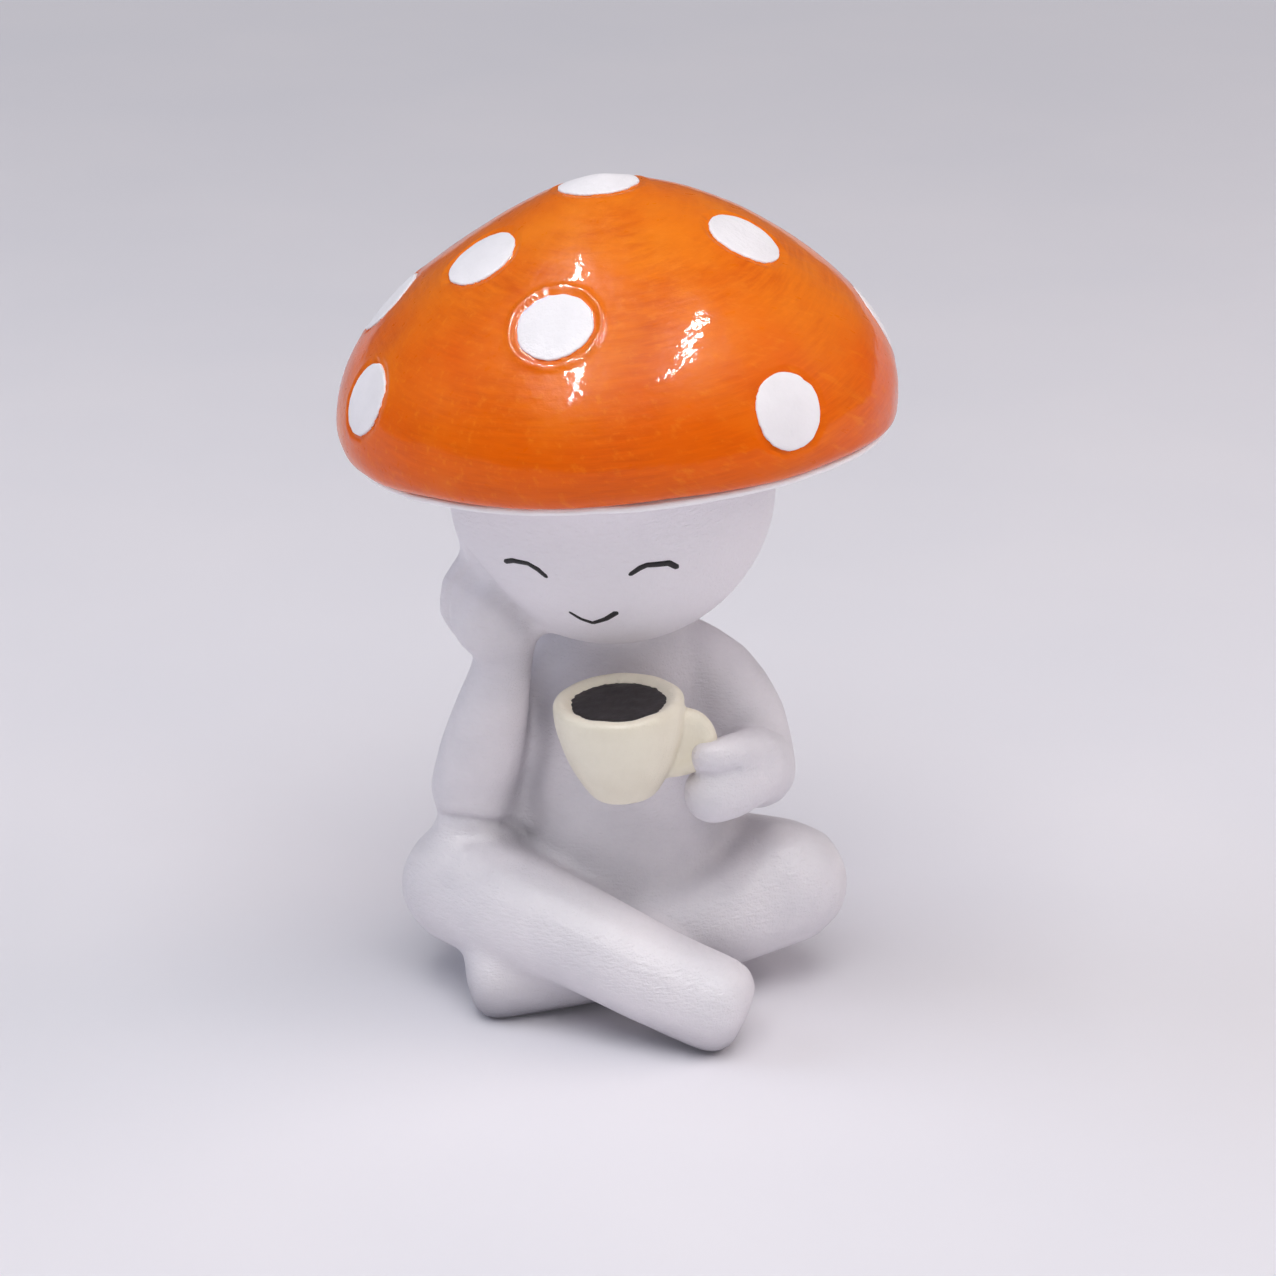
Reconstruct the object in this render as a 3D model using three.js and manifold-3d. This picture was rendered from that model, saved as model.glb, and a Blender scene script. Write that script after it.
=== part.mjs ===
// Mushroom ornament: a seated figure under a spotted mushroom cap, one hand on its cheek, a cup of coffee
// in the other. It is cast in parts, and the castings are pinned and glued together.
//
// Millimetres, +Z up. The figure faces -Y, so its right arm and leg are on the -X side.
import * as THREE from 'three';
import { mergeVertices } from 'three/addons/utils/BufferGeometryUtils.js';
import Module from 'manifold-3d';

const wasm = await Module();
wasm.setup();

// Driving dimensions: fits
const GLUE_GAP = 0.3; // between two castings that are glued face to face
const PIN_GAP = 0.3; // all round a pin in its hole
const PIN_RADIUS = 1.25;
const PIN_HALF_LENGTH = 4.5;

// Driving dimensions: torso
const TORSO_X = 0.3;
const TORSO_Y = 8;
const TORSO_DEPTH_RATIO = 0.92; // front to back against side to side
const SEAT_RADIUS = 12;
const HIP_RADIUS = 15.2;
const HIP_HEIGHT = 7.5;
const WAIST_RADIUS = 12.6;
const WAIST_HEIGHT = 24;
const CHEST_RADIUS = 11;
const CHEST_HEIGHT = 36;
const NECK_RADIUS = 7.5;

// Driving dimensions: head and face
const CHIN_HEIGHT = 43.9;
const HEAD_RADIUS = 18.5;
const HEAD_HALF_HEIGHT = 17.4;
const HEAD_TAPER = 0.035; // how much narrower than an ellipse it is near the chin, and wider near the crown
const HEAD_FORWARD = 6; // of the torso's axis
const HEAD_ASIDE = -1.3; // of the torso's axis, towards the hand that holds the cheek
const HEAD_LEAN_BACK = 3; // degrees
const HEAD_LEAN_RIGHT = 4.4; // degrees
const FACE_TURN = 8; // degrees, to the figure's right
const LINE_WIDTH = 0.8;
const LINE_DEPTH = 0.7;
const LINE_PROUD = 0.12;

// Driving dimensions: cap. The radius varies from crown to rim as a sine raised to a power, and the height as a
// cosine, so 1 and 1 are an ellipse.
const CAP_RADIUS = 31.6; // at the widest ring
const CAP_RISE = 25.8; // from the widest ring up to the crown
const CAP_POWER_ACROSS = 1.47;
const CAP_POWER_UP = 1.07;
const CAP_LOPSIDED = 0.08; // taken off the first power on the figure's left and added on its right
const CAP_ASIDE = 1.3; // of the head's axis
const CAP_WALL = 3.6;
const RIM_DROP = 3.5; // from the widest ring down to the rim's edge
const RIM_TUCK = 2.4; // how far the rim's edge lies inside the widest ring
const RIM_ABOVE_HEAD_CENTRE = 6.9;
const BOSS_RADIUS = 7; // inside the cap, seated on the head's crown

// Driving dimensions: underside plate
const PLATE_LIP = 0.8; // thickness of the flange below the rim
const PLATE_INSET = 0.4; // how far the flange stays inside the rim's edge
const PLATE_STEP = 2.4; // height of the step that locates inside the shell
const PLATE_DISH = 1.4; // how far the plate rises towards the head

// Driving dimensions: spots
const SPOT_RADIUS = 4.2;
const SPOT_DEPTH = 1.3; // of the pocket, at its middle
const SPOT_PROUD = 0.15; // how far a spot stands out of the cap
const SPOT_MOAT = 0.35; // groove round each spot

// Driving dimensions: legs, crossed at the shins, the right one in front
const KNEE_SPREAD = 18.9; // from the torso's axis
const KNEE_FORWARD = 5.8; // of the torso's axis
const KNEE_HEIGHT = 12.1;
const THIGH_RADIUS = 8;
const RIGHT_KNEE_RADIUS = 7.6;
const LEFT_KNEE_RADIUS = 7.5;
const SHIN_RADIUS = 6.1;
const FOOT_RADIUS = 5.6;
const LEFT_FOOT_RADIUS = 4.8;
const FOOT_SPREAD = 10.8; // from the torso's axis, to the left, because the shins cross
const FOOT_FORWARD = 24; // of the torso's axis
const LEFT_FOOT_SPREAD = 15.4; // from the torso's axis, to the right
const LEFT_FOOT_FORWARD = 15.6; // of the torso's axis
const SOLE_CUT = 0.15; // how much the floor takes off each foot

// Driving dimensions: arms
const SHOULDER_HEIGHT = 38.8;
const SHOULDER_SPREAD = 6.4; // from the torso's axis
const UPPER_ARM_RADIUS = 4.8;
const RIGHT_ELBOW_RADIUS = 5.2;
const LEFT_ELBOW_RADIUS = 4.8;
const LEFT_ELBOW_SPREAD = 15.2; // from the torso's axis
const LEFT_ELBOW_FORWARD = 8.2; // of the torso's axis
const LEFT_ELBOW_HEIGHT = 27.8;
const ELBOW_SINK = 1.3; // how far the right elbow is pressed into the thigh
const WRIST_RADIUS = 3.9;
const PALM = [5.2, 3.6, 5.2]; // half axes
const PALM_TURN = [20, -25, 20]; // degrees
const FIST_RADIUS = 3.9;
const FINGER_RADIUS = 2.4;

// Driving dimensions: cup
const CUP_RADIUS = 7.35;
const CUP_HEIGHT = 11.6;
const CUP_FOOT_RADIUS = 3.6;
const CUP_WALL = 1.75;
const CUP_FLOOR = 2;
const CUP_FORWARD = 20.5; // from the torso's axis to the cup's
const CUP_RIM_HEIGHT = 41.6;
const CUP_ASIDE = -0.4; // of the torso's axis
const CUP_TIP_FORWARD = 2; // degrees
const CUP_TIP_RIGHT = -3.5; // degrees
const COFFEE_BELOW_RIM = 0.5;
const HANDLE_RADIUS = 1.2;
const HANDLE_REACH = 3.2; // from the cup's side to the outside of the loop
const HANDLE_TOP = 2.7; // below the rim
const HANDLE_HEIGHT = 6.3;

// Facets
const CAP_SIDES = 40;
const HOLLOW_SIDES = 20;
const BODY_SIDES = 24;
const LIMB_SIDES = 14;
const PIN_SIDES = 10;
const SPOT_SIDES = 16;
const END_RINGS = 3;

const rad = THREE.MathUtils.degToRad;
const vec = (p) => new THREE.Vector3(...p);
const UP = new THREE.Vector3(0, 0, 1);

// Solids: three.js geometry in and out of the boolean library
const solidOf = (geometry) => {
	const bare = geometry.clone();
	for (const name of ['normal', 'uv']) bare.deleteAttribute(name);
	const merged = mergeVertices(bare, 1e-5);
	return new wasm.Manifold(new wasm.Mesh({
		numProp: 3,
		vertProperties: new Float32Array(merged.attributes.position.array),
		triVerts: new Uint32Array(merged.index.array),
	}));
};

const geometryOf = (solid) => {
	const mesh = solid.getMesh();
	const geometry = new THREE.BufferGeometry();
	geometry.setAttribute('position', new THREE.BufferAttribute(mesh.vertProperties, 3));
	geometry.setIndex(new THREE.BufferAttribute(mesh.triVerts, 1));
	geometry.computeVertexNormals();
	return geometry;
};

const moved = (solid, matrix) => solid.transform(matrix.elements);
const union = (...solids) => solids.reduce((sum, next) => sum.add(next));
const cutBy = (solid, ...tools) => tools.reduce((rest, tool) => rest.subtract(tool), solid);

// A closed skin over rings of points, which turn anticlockwise seen from the last tip.
const loft = (firstTip, rings, lastTip) => {
	const sides = rings[0].length;
	const positions = rings.flat().flatMap((point) => point.toArray());
	const firstPole = rings.length * sides;
	const lastPole = firstPole + 1;
	positions.push(...firstTip.toArray(), ...lastTip.toArray());
	const top = (rings.length - 1) * sides;
	const faces = [];
	for (let j = 0; j < sides; j++) {
		const next = (j + 1) % sides;
		faces.push(firstPole, next, j, lastPole, top + j, top + next);
		for (let low = 0; low < top; low += sides) {
			const high = low + sides;
			faces.push(low + j, low + next, high + next, low + j, high + next, high + j);
		}
	}
	const geometry = new THREE.BufferGeometry();
	geometry.setAttribute('position', new THREE.Float32BufferAttribute(positions, 3));
	geometry.setIndex(faces);
	return solidOf(geometry);
};

// A body of revolution about Z, from a profile of [radius, height] that starts and ends on the axis, going up.
const revolve = (profile, sides) => {
	const lathe = new THREE.LatheGeometry(profile.map(([r, z]) => new THREE.Vector2(r, z)), sides);
	lathe.rotateX(Math.PI / 2);
	return solidOf(lathe);
};

const bar = (from, to, radius, sides = PIN_SIDES) => {
	const [start, end] = [vec(from), vec(to)];
	const span = end.clone().sub(start);
	const cylinder = new THREE.CylinderGeometry(radius, radius, span.length(), sides);
	cylinder.applyQuaternion(new THREE.Quaternion().setFromUnitVectors(new THREE.Vector3(0, 1, 0), span.normalize()));
	cylinder.translate(...start.add(end).multiplyScalar(0.5).toArray());
	return solidOf(cylinder);
};

// An ellipsoid with given half axes, turned by degrees about X, Y and Z.
const ellipsoid = (centre, halfAxes, turn, grow = 0) => {
	const ball = new THREE.SphereGeometry(1, LIMB_SIDES, LIMB_SIDES / 2);
	ball.rotateX(Math.PI / 2);
	ball.scale(...halfAxes.map((half) => half + grow));
	ball.applyQuaternion(new THREE.Quaternion().setFromEuler(new THREE.Euler(...turn.map(rad))));
	ball.translate(...centre);
	return solidOf(ball);
};

// A limb: a tube lofted through stations [x, y, z, radius], with a round first end. The last end is round with
// blunt 1, and squarer below that.
const limb = (stations, grow = 0, blunt = 1) => {
	const steps = 2;
	const spans = (stations.length - 1) * steps;
	const spine = new THREE.CatmullRomCurve3(stations.map((s) => vec(s)));
	const radii = new THREE.CatmullRomCurve3(stations.map((s) => new THREE.Vector3(s[3], 0, 0)));
	const frames = spine.computeFrenetFrames(spans, false);
	const radiusAt = (i) => radii.getPoint(i / spans).x + grow;
	const ring = (i, along, radius) => {
		const centre = spine.getPoint(i / spans).addScaledVector(frames.tangents[i], along);
		return Array.from({ length: LIMB_SIDES }, (_, j) => {
			const angle = (j / LIMB_SIDES) * Math.PI * 2;
			return centre.clone()
				.addScaledVector(frames.normals[i], radius * Math.cos(angle))
				.addScaledVector(frames.binormals[i], radius * Math.sin(angle));
		});
	};
	const endRing = (i, sign, k, squareness) => {
		const angle = (k / END_RINGS) * Math.PI / 2;
		const along = sign * radiusAt(i) * squareness * Math.sin(angle);
		return ring(i, along, radiusAt(i) * Math.cos(angle) ** squareness);
	};
	const tip = (i, sign, squareness) =>
		spine.getPoint(i / spans).addScaledVector(frames.tangents[i], sign * radiusAt(i) * squareness);

	const rings = [];
	for (let k = END_RINGS - 1; k > 0; k--) rings.push(endRing(0, -1, k, 1));
	for (let i = 0; i <= spans; i++) rings.push(ring(i, 0, radiusAt(i)));
	for (let k = 1; k < END_RINGS; k++) rings.push(endRing(spans, 1, k, blunt));
	return loft(tip(0, -1, 1), rings, tip(spans, 1, blunt));
};

// A point on the way from one end to the other, bowed off the straight line by shares of a length.
const bowed = (from, to, t, length = 0, bow = [0, 0, 0]) =>
	[0, 1, 2].map((i) => from[i] + (to[i] - from[i]) * t + length * bow[i]);

// Everything below the floor is cut away, so feet and seat stand flat.
const aboveFloor = (solid) => {
	const size = 6 * CAP_RADIUS;
	return solid.subtract(solidOf(new THREE.BoxGeometry(size, size, size).translate(0, 0, -size / 2)));
};

// Head, in its own frame with the origin at its centre
const headForm = (grow) => {
	const rings = 12;
	const profile = [];
	for (let i = 0; i <= rings; i++) {
		const angle = (i / rings) * Math.PI;
		const onAxis = i === 0 || i === rings;
		const taper = 1 - HEAD_TAPER * Math.cos(angle);
		const radius = onAxis ? 0 : HEAD_RADIUS * Math.sin(angle) * taper + grow * Math.sin(angle);
		profile.push([radius, -(HEAD_HALF_HEIGHT + grow) * Math.cos(angle)]);
	}
	return revolve(profile, BODY_SIDES);
};

const HEAD_CENTRE = [TORSO_X + HEAD_ASIDE, TORSO_Y - HEAD_FORWARD, CHIN_HEIGHT + HEAD_HALF_HEIGHT];
const headPlace = new THREE.Matrix4().compose(
	vec(HEAD_CENTRE),
	new THREE.Quaternion().setFromEuler(new THREE.Euler(-rad(HEAD_LEAN_BACK), -rad(HEAD_LEAN_RIGHT), 0)),
	new THREE.Vector3(1, 1, 1),
);
const faceTurn = new THREE.Matrix4().makeRotationZ(-rad(FACE_TURN));
const capPlace = new THREE.Matrix4().makeTranslation(CAP_ASIDE, 0, RIM_ABOVE_HEAD_CENTRE + RIM_DROP);
const headInBody = (grow) => moved(headForm(grow), headPlace);
const headInCap = (grow) => moved(headForm(grow), capPlace.clone().invert());

// Face lines: arcs [middle x, middle z, half width, rise] in head radii, and their tilt in degrees
const FACE_LINES = {
	right_eye_line: [-0.42, -0.232, 0.133, 0.052, -14],
	left_eye_line: [0.35, -0.254, 0.131, 0.046, 0],
	smile_line: [-0.046, -0.53, 0.125, -0.078, -1],
};

// The ribbon that an arc sweeps along Y, right through the head.
const ribbon = ([...arc], grow) => {
	const tilt = arc.pop();
	const [x, z, half, rise] = arc.map((share) => share * HEAD_RADIUS);
	const steps = 6;
	const reach = LINE_WIDTH / 2 + grow;
	const edge = (t, side) => {
		const along = new THREE.Vector2(half, -2 * rise * t).normalize();
		return new THREE.Vector2(half * t, rise * (1 - t * t))
			.addScaledVector(along, Math.abs(t) === 1 ? t * grow : 0)
			.addScaledVector(new THREE.Vector2(-along.y, along.x), side * reach);
	};
	const outline = [];
	for (let i = 0; i <= steps; i++) outline.push(edge(2 * i / steps - 1, -1));
	for (let i = steps; i >= 0; i--) outline.push(edge(2 * i / steps - 1, 1));
	const sweep = { depth: 2 * HEAD_RADIUS, bevelEnabled: false };
	const geometry = new THREE.ExtrudeGeometry(new THREE.Shape(outline), sweep);
	geometry.rotateZ(rad(tilt));
	geometry.rotateX(Math.PI / 2);
	geometry.translate(x, 0, z);
	return solidOf(geometry);
};

const makeFaceLine = (line) =>
	headForm(LINE_PROUD).subtract(headForm(GLUE_GAP - LINE_DEPTH)).intersect(ribbon(line, 0));
const faceGroove = (line) => moved(ribbon(line, GLUE_GAP).subtract(headForm(-LINE_DEPTH)), faceTurn);

// Cap, in its own frame with the origin in the middle of its widest ring. The compass angle is 0 at the front
// and grows towards the figure's left.
const capRadius = (turn, compass) =>
	CAP_RADIUS * Math.sin(turn) ** (CAP_POWER_ACROSS - CAP_LOPSIDED * Math.sin(compass));
const capHeight = (turn) => CAP_RISE * Math.cos(turn) ** CAP_POWER_UP;

// One side of the cap from just below the crown to the widest ring, and on to the rim's edge if rimRings is
// above 0, offset outwards by grow.
const capSection = (compass, grow, domeRings, rimRings) => {
	const line = [new THREE.Vector2(0, CAP_RISE)];
	for (let i = 1; i <= domeRings; i++) {
		const turn = (i / domeRings) * Math.PI / 2;
		line.push(new THREE.Vector2(capRadius(turn, compass), i < domeRings ? capHeight(turn) : 0));
	}
	for (let i = 1; i <= rimRings; i++) {
		const turn = (i / rimRings) * Math.PI / 2;
		line.push(new THREE.Vector2(CAP_RADIUS - RIM_TUCK * (1 - Math.cos(turn)), -RIM_DROP * Math.sin(turn)));
	}
	return line.slice(1).map((point, i) => {
		const before = line[i];
		const after = line[Math.min(i + 2, line.length - 1)];
		const outward = new THREE.Vector2(before.y - after.y, after.x - before.x).normalize();
		return point.clone().addScaledVector(outward, grow);
	});
};

// The cap's form, closed by a flat disc at the bottom.
const capForm = (grow, { bottom = -RIM_DROP, sides = CAP_SIDES, domeRings = 9, rimRings = 3 } = {}) => {
	const rings = [];
	for (let j = 0; j < sides; j++) {
		const compass = (j / sides) * Math.PI * 2;
		const section = capSection(compass, grow, domeRings, rimRings);
		section.push(new THREE.Vector2(section.at(-1).x, bottom));
		section.reverse().forEach(({ x, y }, i) => {
			rings[i] ??= [];
			rings[i].push(new THREE.Vector3(x * Math.sin(compass), -x * Math.cos(compass), y));
		});
	}
	if (Math.abs(bottom + RIM_DROP) < 1e-6 && rimRings > 0 && grow === 0) rings.shift();
	return loft(new THREE.Vector3(0, 0, bottom), rings, new THREE.Vector3(0, 0, CAP_RISE + grow));
};

// Spots: [compass angle, share of the way from crown to widest ring, share of SPOT_RADIUS]
const SPOTS = [
	[-48, 0.03, 0.95],
	[-57, 0.395, 1],
	[-13.5, 0.594, 1],
	[64.5, 0.426, 1.02],
	[37.5, 0.903, 1.02],
	[96, 0.842, 1],
	[-64.5, 0.859, 0.98],
	[-93.4, 0.645, 1],
	[152, 0.45, 1],
	[122, 0.6, 1],
	[-152, 0.45, 0.98],
	[144, 0.87, 1],
	[-178, 0.82, 1.02],
	[-140, 0.88, 0.98],
];

// A round plug that stands square on the cap at a spot, from depth below the surface to well above it.
const spotPlug = ([compass, share, size], grow, depth) => {
	const turn = rad(compass);
	const section = capSection(turn, 0, 24, 0).map((p) => new THREE.Vector3(p.x, 0, p.y));
	const curve = new THREE.CatmullRomCurve3([new THREE.Vector3(0, 0, CAP_RISE), ...section]);
	const along = curve.getTangentAt(share);
	const outward = new THREE.Vector3(-along.z, 0, along.x);
	const [point, normal] = [curve.getPointAt(share), outward].map((v) => v.applyAxisAngle(UP, turn - Math.PI / 2));
	const from = point.clone().addScaledVector(normal, -depth);
	const above = point.clone().addScaledVector(normal, 2 * SPOT_DEPTH);
	return bar(from.toArray(), above.toArray(), size * SPOT_RADIUS + grow, SPOT_SIDES);
};

const makeCap = () => {
	const outer = capForm(0);
	const hollow = capForm(-CAP_WALL, { bottom: -1.3 * RIM_DROP, sides: HOLLOW_SIDES, domeRings: 5, rimRings: 0 });
	const bossTop = [-CAP_ASIDE, 0, CAP_RISE];
	const boss = bar([-CAP_ASIDE, 0, -RIM_DROP], bossTop, BOSS_RADIUS, HOLLOW_SIDES)
		.intersect(capForm(-CAP_WALL / 2, { rimRings: 0 }));
	const pockets = SPOTS.map((spot) => spotPlug(spot, SPOT_MOAT, SPOT_DEPTH));
	return cutBy(union(outer.subtract(hollow), boss), ...pockets, headInCap(GLUE_GAP), capPin(PIN_GAP));
};

const makeSpot = (spot) => spotPlug(spot, 0, SPOT_DEPTH - GLUE_GAP).intersect(capForm(SPOT_PROUD));

// The pin between the head's crown and the boss.
const capPin = (grow) => {
	const crown = HEAD_HALF_HEIGHT - RIM_ABOVE_HEAD_CENTRE - RIM_DROP;
	const half = PIN_HALF_LENGTH + grow;
	return bar([-CAP_ASIDE, 0, crown - half], [-CAP_ASIDE, 0, crown + half], PIN_RADIUS + grow);
};

const makeUnderside = () => {
	const top = -RIM_DROP - GLUE_GAP;
	const lip = CAP_RADIUS - RIM_TUCK - PLATE_INSET;
	const step = CAP_RADIUS - CAP_WALL - GLUE_GAP;
	const round = PLATE_LIP / 2;
	return cutBy(revolve([
		[0, top - PLATE_LIP + PLATE_DISH],
		[HEAD_RADIUS * 0.78, top - PLATE_LIP + PLATE_DISH],
		[lip - round, top - PLATE_LIP],
		[lip, top - PLATE_LIP + round],
		[lip, top],
		[step, top],
		[step, top + PLATE_STEP],
		[0, top + PLATE_STEP],
	], CAP_SIDES), headInCap(GLUE_GAP));
};

// Torso, a pear with a flat seat
const torsoForm = (grow) => {
	const neckTop = CHIN_HEIGHT + NECK_RADIUS / 2;
	const below = SEAT_RADIUS / 12;
	const flank = new THREE.SplineCurve([
		[SEAT_RADIUS, -below],
		[HIP_RADIUS, HIP_HEIGHT],
		[(HIP_RADIUS + WAIST_RADIUS) / 2, (HIP_HEIGHT + WAIST_HEIGHT) / 2],
		[WAIST_RADIUS, WAIST_HEIGHT],
		[CHEST_RADIUS, CHEST_HEIGHT],
		[NECK_RADIUS, CHIN_HEIGHT],
		[NECK_RADIUS / 2, neckTop],
	].map(([r, z]) => new THREE.Vector2(r, z))).getPoints(11).map(({ x, y }) => [x + grow, y]);
	const place = new THREE.Matrix4().makeTranslation(TORSO_X, TORSO_Y, 0)
		.multiply(new THREE.Matrix4().makeScale(1, TORSO_DEPTH_RATIO, 1));
	const top = neckTop + NECK_RADIUS / 8 + grow;
	return moved(revolve([[0, -below - grow], ...flank, [0, top]], BODY_SIDES), place);
};

// Legs: each thigh and shin meet in the knee
const hip = (side) =>
	[TORSO_X + side * THIGH_RADIUS / 2, TORSO_Y + THIGH_RADIUS / 8, THIGH_RADIUS * 1.25, THIGH_RADIUS];
const knee = (side, radius) => [TORSO_X + side * KNEE_SPREAD, TORSO_Y - KNEE_FORWARD, KNEE_HEIGHT, radius];
const thigh = (side, radius) => {
	const [top, end] = [hip(side), knee(side, radius)];
	return [top, [...bowed(top, end, 0.5, THIGH_RADIUS, [0, 0.125, 0]), (THIGH_RADIUS + radius) / 2], end];
};
const foot = (spread, forward, radius) => [TORSO_X + spread, TORSO_Y - forward, radius - SOLE_CUT, radius];
const shin = (top, end, stations) => [
	top,
	...stations.map(([t, bow, swell]) => [...bowed(top, end, t, SHIN_RADIUS, bow), SHIN_RADIUS * swell]),
	end,
];
const RIGHT_KNEE = knee(-1, RIGHT_KNEE_RADIUS);
const LEFT_KNEE = knee(1, LEFT_KNEE_RADIUS);
const RIGHT_SHIN = shin(RIGHT_KNEE, foot(FOOT_SPREAD, FOOT_FORWARD, FOOT_RADIUS), [
	[0.21, [0, -0.51, 0.17], 1.16],
	[0.47, [0, -0.66, 0.33], 1],
	[0.75, [0, -0.43, 0.15], 0.95],
]);
const LEFT_SHIN = shin(LEFT_KNEE, foot(-LEFT_FOOT_SPREAD, LEFT_FOOT_FORWARD, LEFT_FOOT_RADIUS), [
	[0.2, [0, -0.17, -0.1], 1.1],
	[0.46, [0, -0.25, -0.15], 0.97],
	[0.72, [0, -0.12, -0.14], 0.87],
]);
const rightLegForm = (grow) => union(limb(thigh(-1, RIGHT_KNEE_RADIUS), grow), limb(RIGHT_SHIN, grow, 0.65));
const leftLegForm = (grow) => union(limb(thigh(1, LEFT_KNEE_RADIUS), grow), limb(LEFT_SHIN, grow, 0.65));

// Right arm: the elbow stands on the thigh and the open hand holds the cheek
const shoulder = (side) => [
	TORSO_X + side * SHOULDER_SPREAD,
	TORSO_Y - UPPER_ARM_RADIUS / 10,
	SHOULDER_HEIGHT,
	UPPER_ARM_RADIUS * 1.04,
];
const RIGHT_ELBOW = [
	RIGHT_KNEE[0] + RIGHT_ELBOW_RADIUS * 0.23,
	RIGHT_KNEE[1] + RIGHT_ELBOW_RADIUS * 0.35,
	KNEE_HEIGHT + RIGHT_KNEE_RADIUS + RIGHT_ELBOW_RADIUS - ELBOW_SINK,
	RIGHT_ELBOW_RADIUS,
];
const CHEEK_SIDE = [-0.64, -0.37, -0.67]; // from the head's centre
const palmStandsOff = HEAD_RADIUS + PALM[1] * 0.34;
const cheek = vec(HEAD_CENTRE).addScaledVector(vec(CHEEK_SIDE).normalize(), palmStandsOff);
// A point of the hand, off the middle of the palm by shares of the wrist's radius.
const atCheek = (...shares) => cheek.toArray().map((value, i) => value + WRIST_RADIUS * shares[i]);
const WRIST = atCheek(0.06, 0.67, -1.36);
const RIGHT_UPPER_ARM = [
	shoulder(-1),
	[...bowed(shoulder(-1), RIGHT_ELBOW, 0.5, UPPER_ARM_RADIUS, [-0.05, 0.39, 0.29]), UPPER_ARM_RADIUS],
	RIGHT_ELBOW,
];
const RIGHT_FOREARM = [
	RIGHT_ELBOW,
	[...bowed(RIGHT_ELBOW, WRIST, 0.28), RIGHT_ELBOW_RADIUS * 0.98],
	[...bowed(RIGHT_ELBOW, WRIST, 0.66), (RIGHT_ELBOW_RADIUS + WRIST_RADIUS) * 0.465],
	[...WRIST, WRIST_RADIUS * 0.88],
	[...atCheek(0.05, 0.41, -0.36), WRIST_RADIUS * 1.08],
];
const RIGHT_FINGERS = [
	[...atCheek(-0.4, 0.46, -0.38), PALM[1]],
	[...atCheek(-1.06, 0.64, 0.5), PALM[1] * 0.94],
	[...atCheek(-0.92, 0.92, 1.2), PALM[1] * 0.65],
];
const rightArmForm = (grow) => union(
	limb(RIGHT_UPPER_ARM, grow),
	limb(RIGHT_FOREARM, grow),
	ellipsoid(cheek.toArray(), PALM, PALM_TURN, grow),
	limb(RIGHT_FINGERS, grow),
);

// Cup, in its own frame: the origin is the middle of the rim and the handle points to +X
const cupOuter = (grow) => {
	const rings = 6;
	const profile = [[0, -CUP_HEIGHT - grow], [CUP_FOOT_RADIUS + grow, -CUP_HEIGHT - grow]];
	for (let i = 1; i <= rings; i++) {
		const swell = Math.sin((i / rings) * Math.PI / 2) ** 0.8;
		const radius = CUP_FOOT_RADIUS + (CUP_RADIUS - CUP_FOOT_RADIUS) * swell;
		profile.push([radius + grow, (i / rings - 1) * CUP_HEIGHT]);
	}
	return revolve([...profile, [0, grow]], BODY_SIDES);
};

const cupHollow = (shrink, top) => {
	const rings = 4;
	const radius = CUP_RADIUS - CUP_WALL - shrink;
	const depth = CUP_HEIGHT - CUP_FLOOR - shrink;
	const brim = Math.min(top, -0.8 * COFFEE_BELOW_RIM);
	const profile = [[0, -depth]];
	for (let i = 1; i <= rings; i++) {
		const turn = (i / rings) * Math.PI / 2;
		profile.push([radius * Math.sin(turn) ** 0.7, i < rings ? -depth * Math.cos(turn) : brim]);
	}
	if (top > 0) profile.push([radius, top]);
	return revolve([...profile, [0, top]], BODY_SIDES);
};

const handleForm = (grow) => {
	const side = CUP_RADIUS - HANDLE_RADIUS;
	const out = CUP_RADIUS + HANDLE_REACH - HANDLE_RADIUS;
	const path = new THREE.CatmullRomCurve3([
		[side - HANDLE_RADIUS * 0.8, -HANDLE_TOP],
		[side + HANDLE_RADIUS * 1.4, HANDLE_RADIUS * 0.2 - HANDLE_TOP],
		[out, -HANDLE_TOP - HANDLE_HEIGHT * 0.2],
		[out, -HANDLE_TOP - HANDLE_HEIGHT * 0.6],
		[side + HANDLE_RADIUS * 0.8, -HANDLE_TOP - HANDLE_HEIGHT * 0.95],
		[side - HANDLE_RADIUS * 1.8, -HANDLE_TOP - HANDLE_HEIGHT],
	].map(([x, z]) => new THREE.Vector3(x, 0, z)));
	const section = new THREE.Shape().absarc(0, 0, HANDLE_RADIUS + grow, 0, Math.PI * 2);
	const sweep = { extrudePath: path, steps: 9, curveSegments: 4, bevelEnabled: false };
	return solidOf(new THREE.ExtrudeGeometry(section, sweep));
};

const CUP_CENTRE = [TORSO_X + CUP_ASIDE, TORSO_Y - CUP_FORWARD, CUP_RIM_HEIGHT];
const cupPlace = new THREE.Matrix4().compose(
	vec(CUP_CENTRE),
	new THREE.Quaternion().setFromEuler(new THREE.Euler(rad(CUP_TIP_FORWARD), rad(CUP_TIP_RIGHT), 0)),
	new THREE.Vector3(1, 1, 1),
);
const makeCup = () => cutBy(union(cupOuter(0), handleForm(0)), cupHollow(0, 1));
const makeCoffee = () => cupHollow(GLUE_GAP, -COFFEE_BELOW_RIM);
const cupInBody = (grow) => moved(union(cupOuter(grow), handleForm(grow)), cupPlace);

// Left arm: the fist closes round the lower half of the cup's handle
const handleEnd = [CUP_RADIUS + HANDLE_REACH - HANDLE_RADIUS, 0, -HANDLE_TOP - HANDLE_HEIGHT];
const grip = vec(handleEnd).applyMatrix4(cupPlace);
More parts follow.
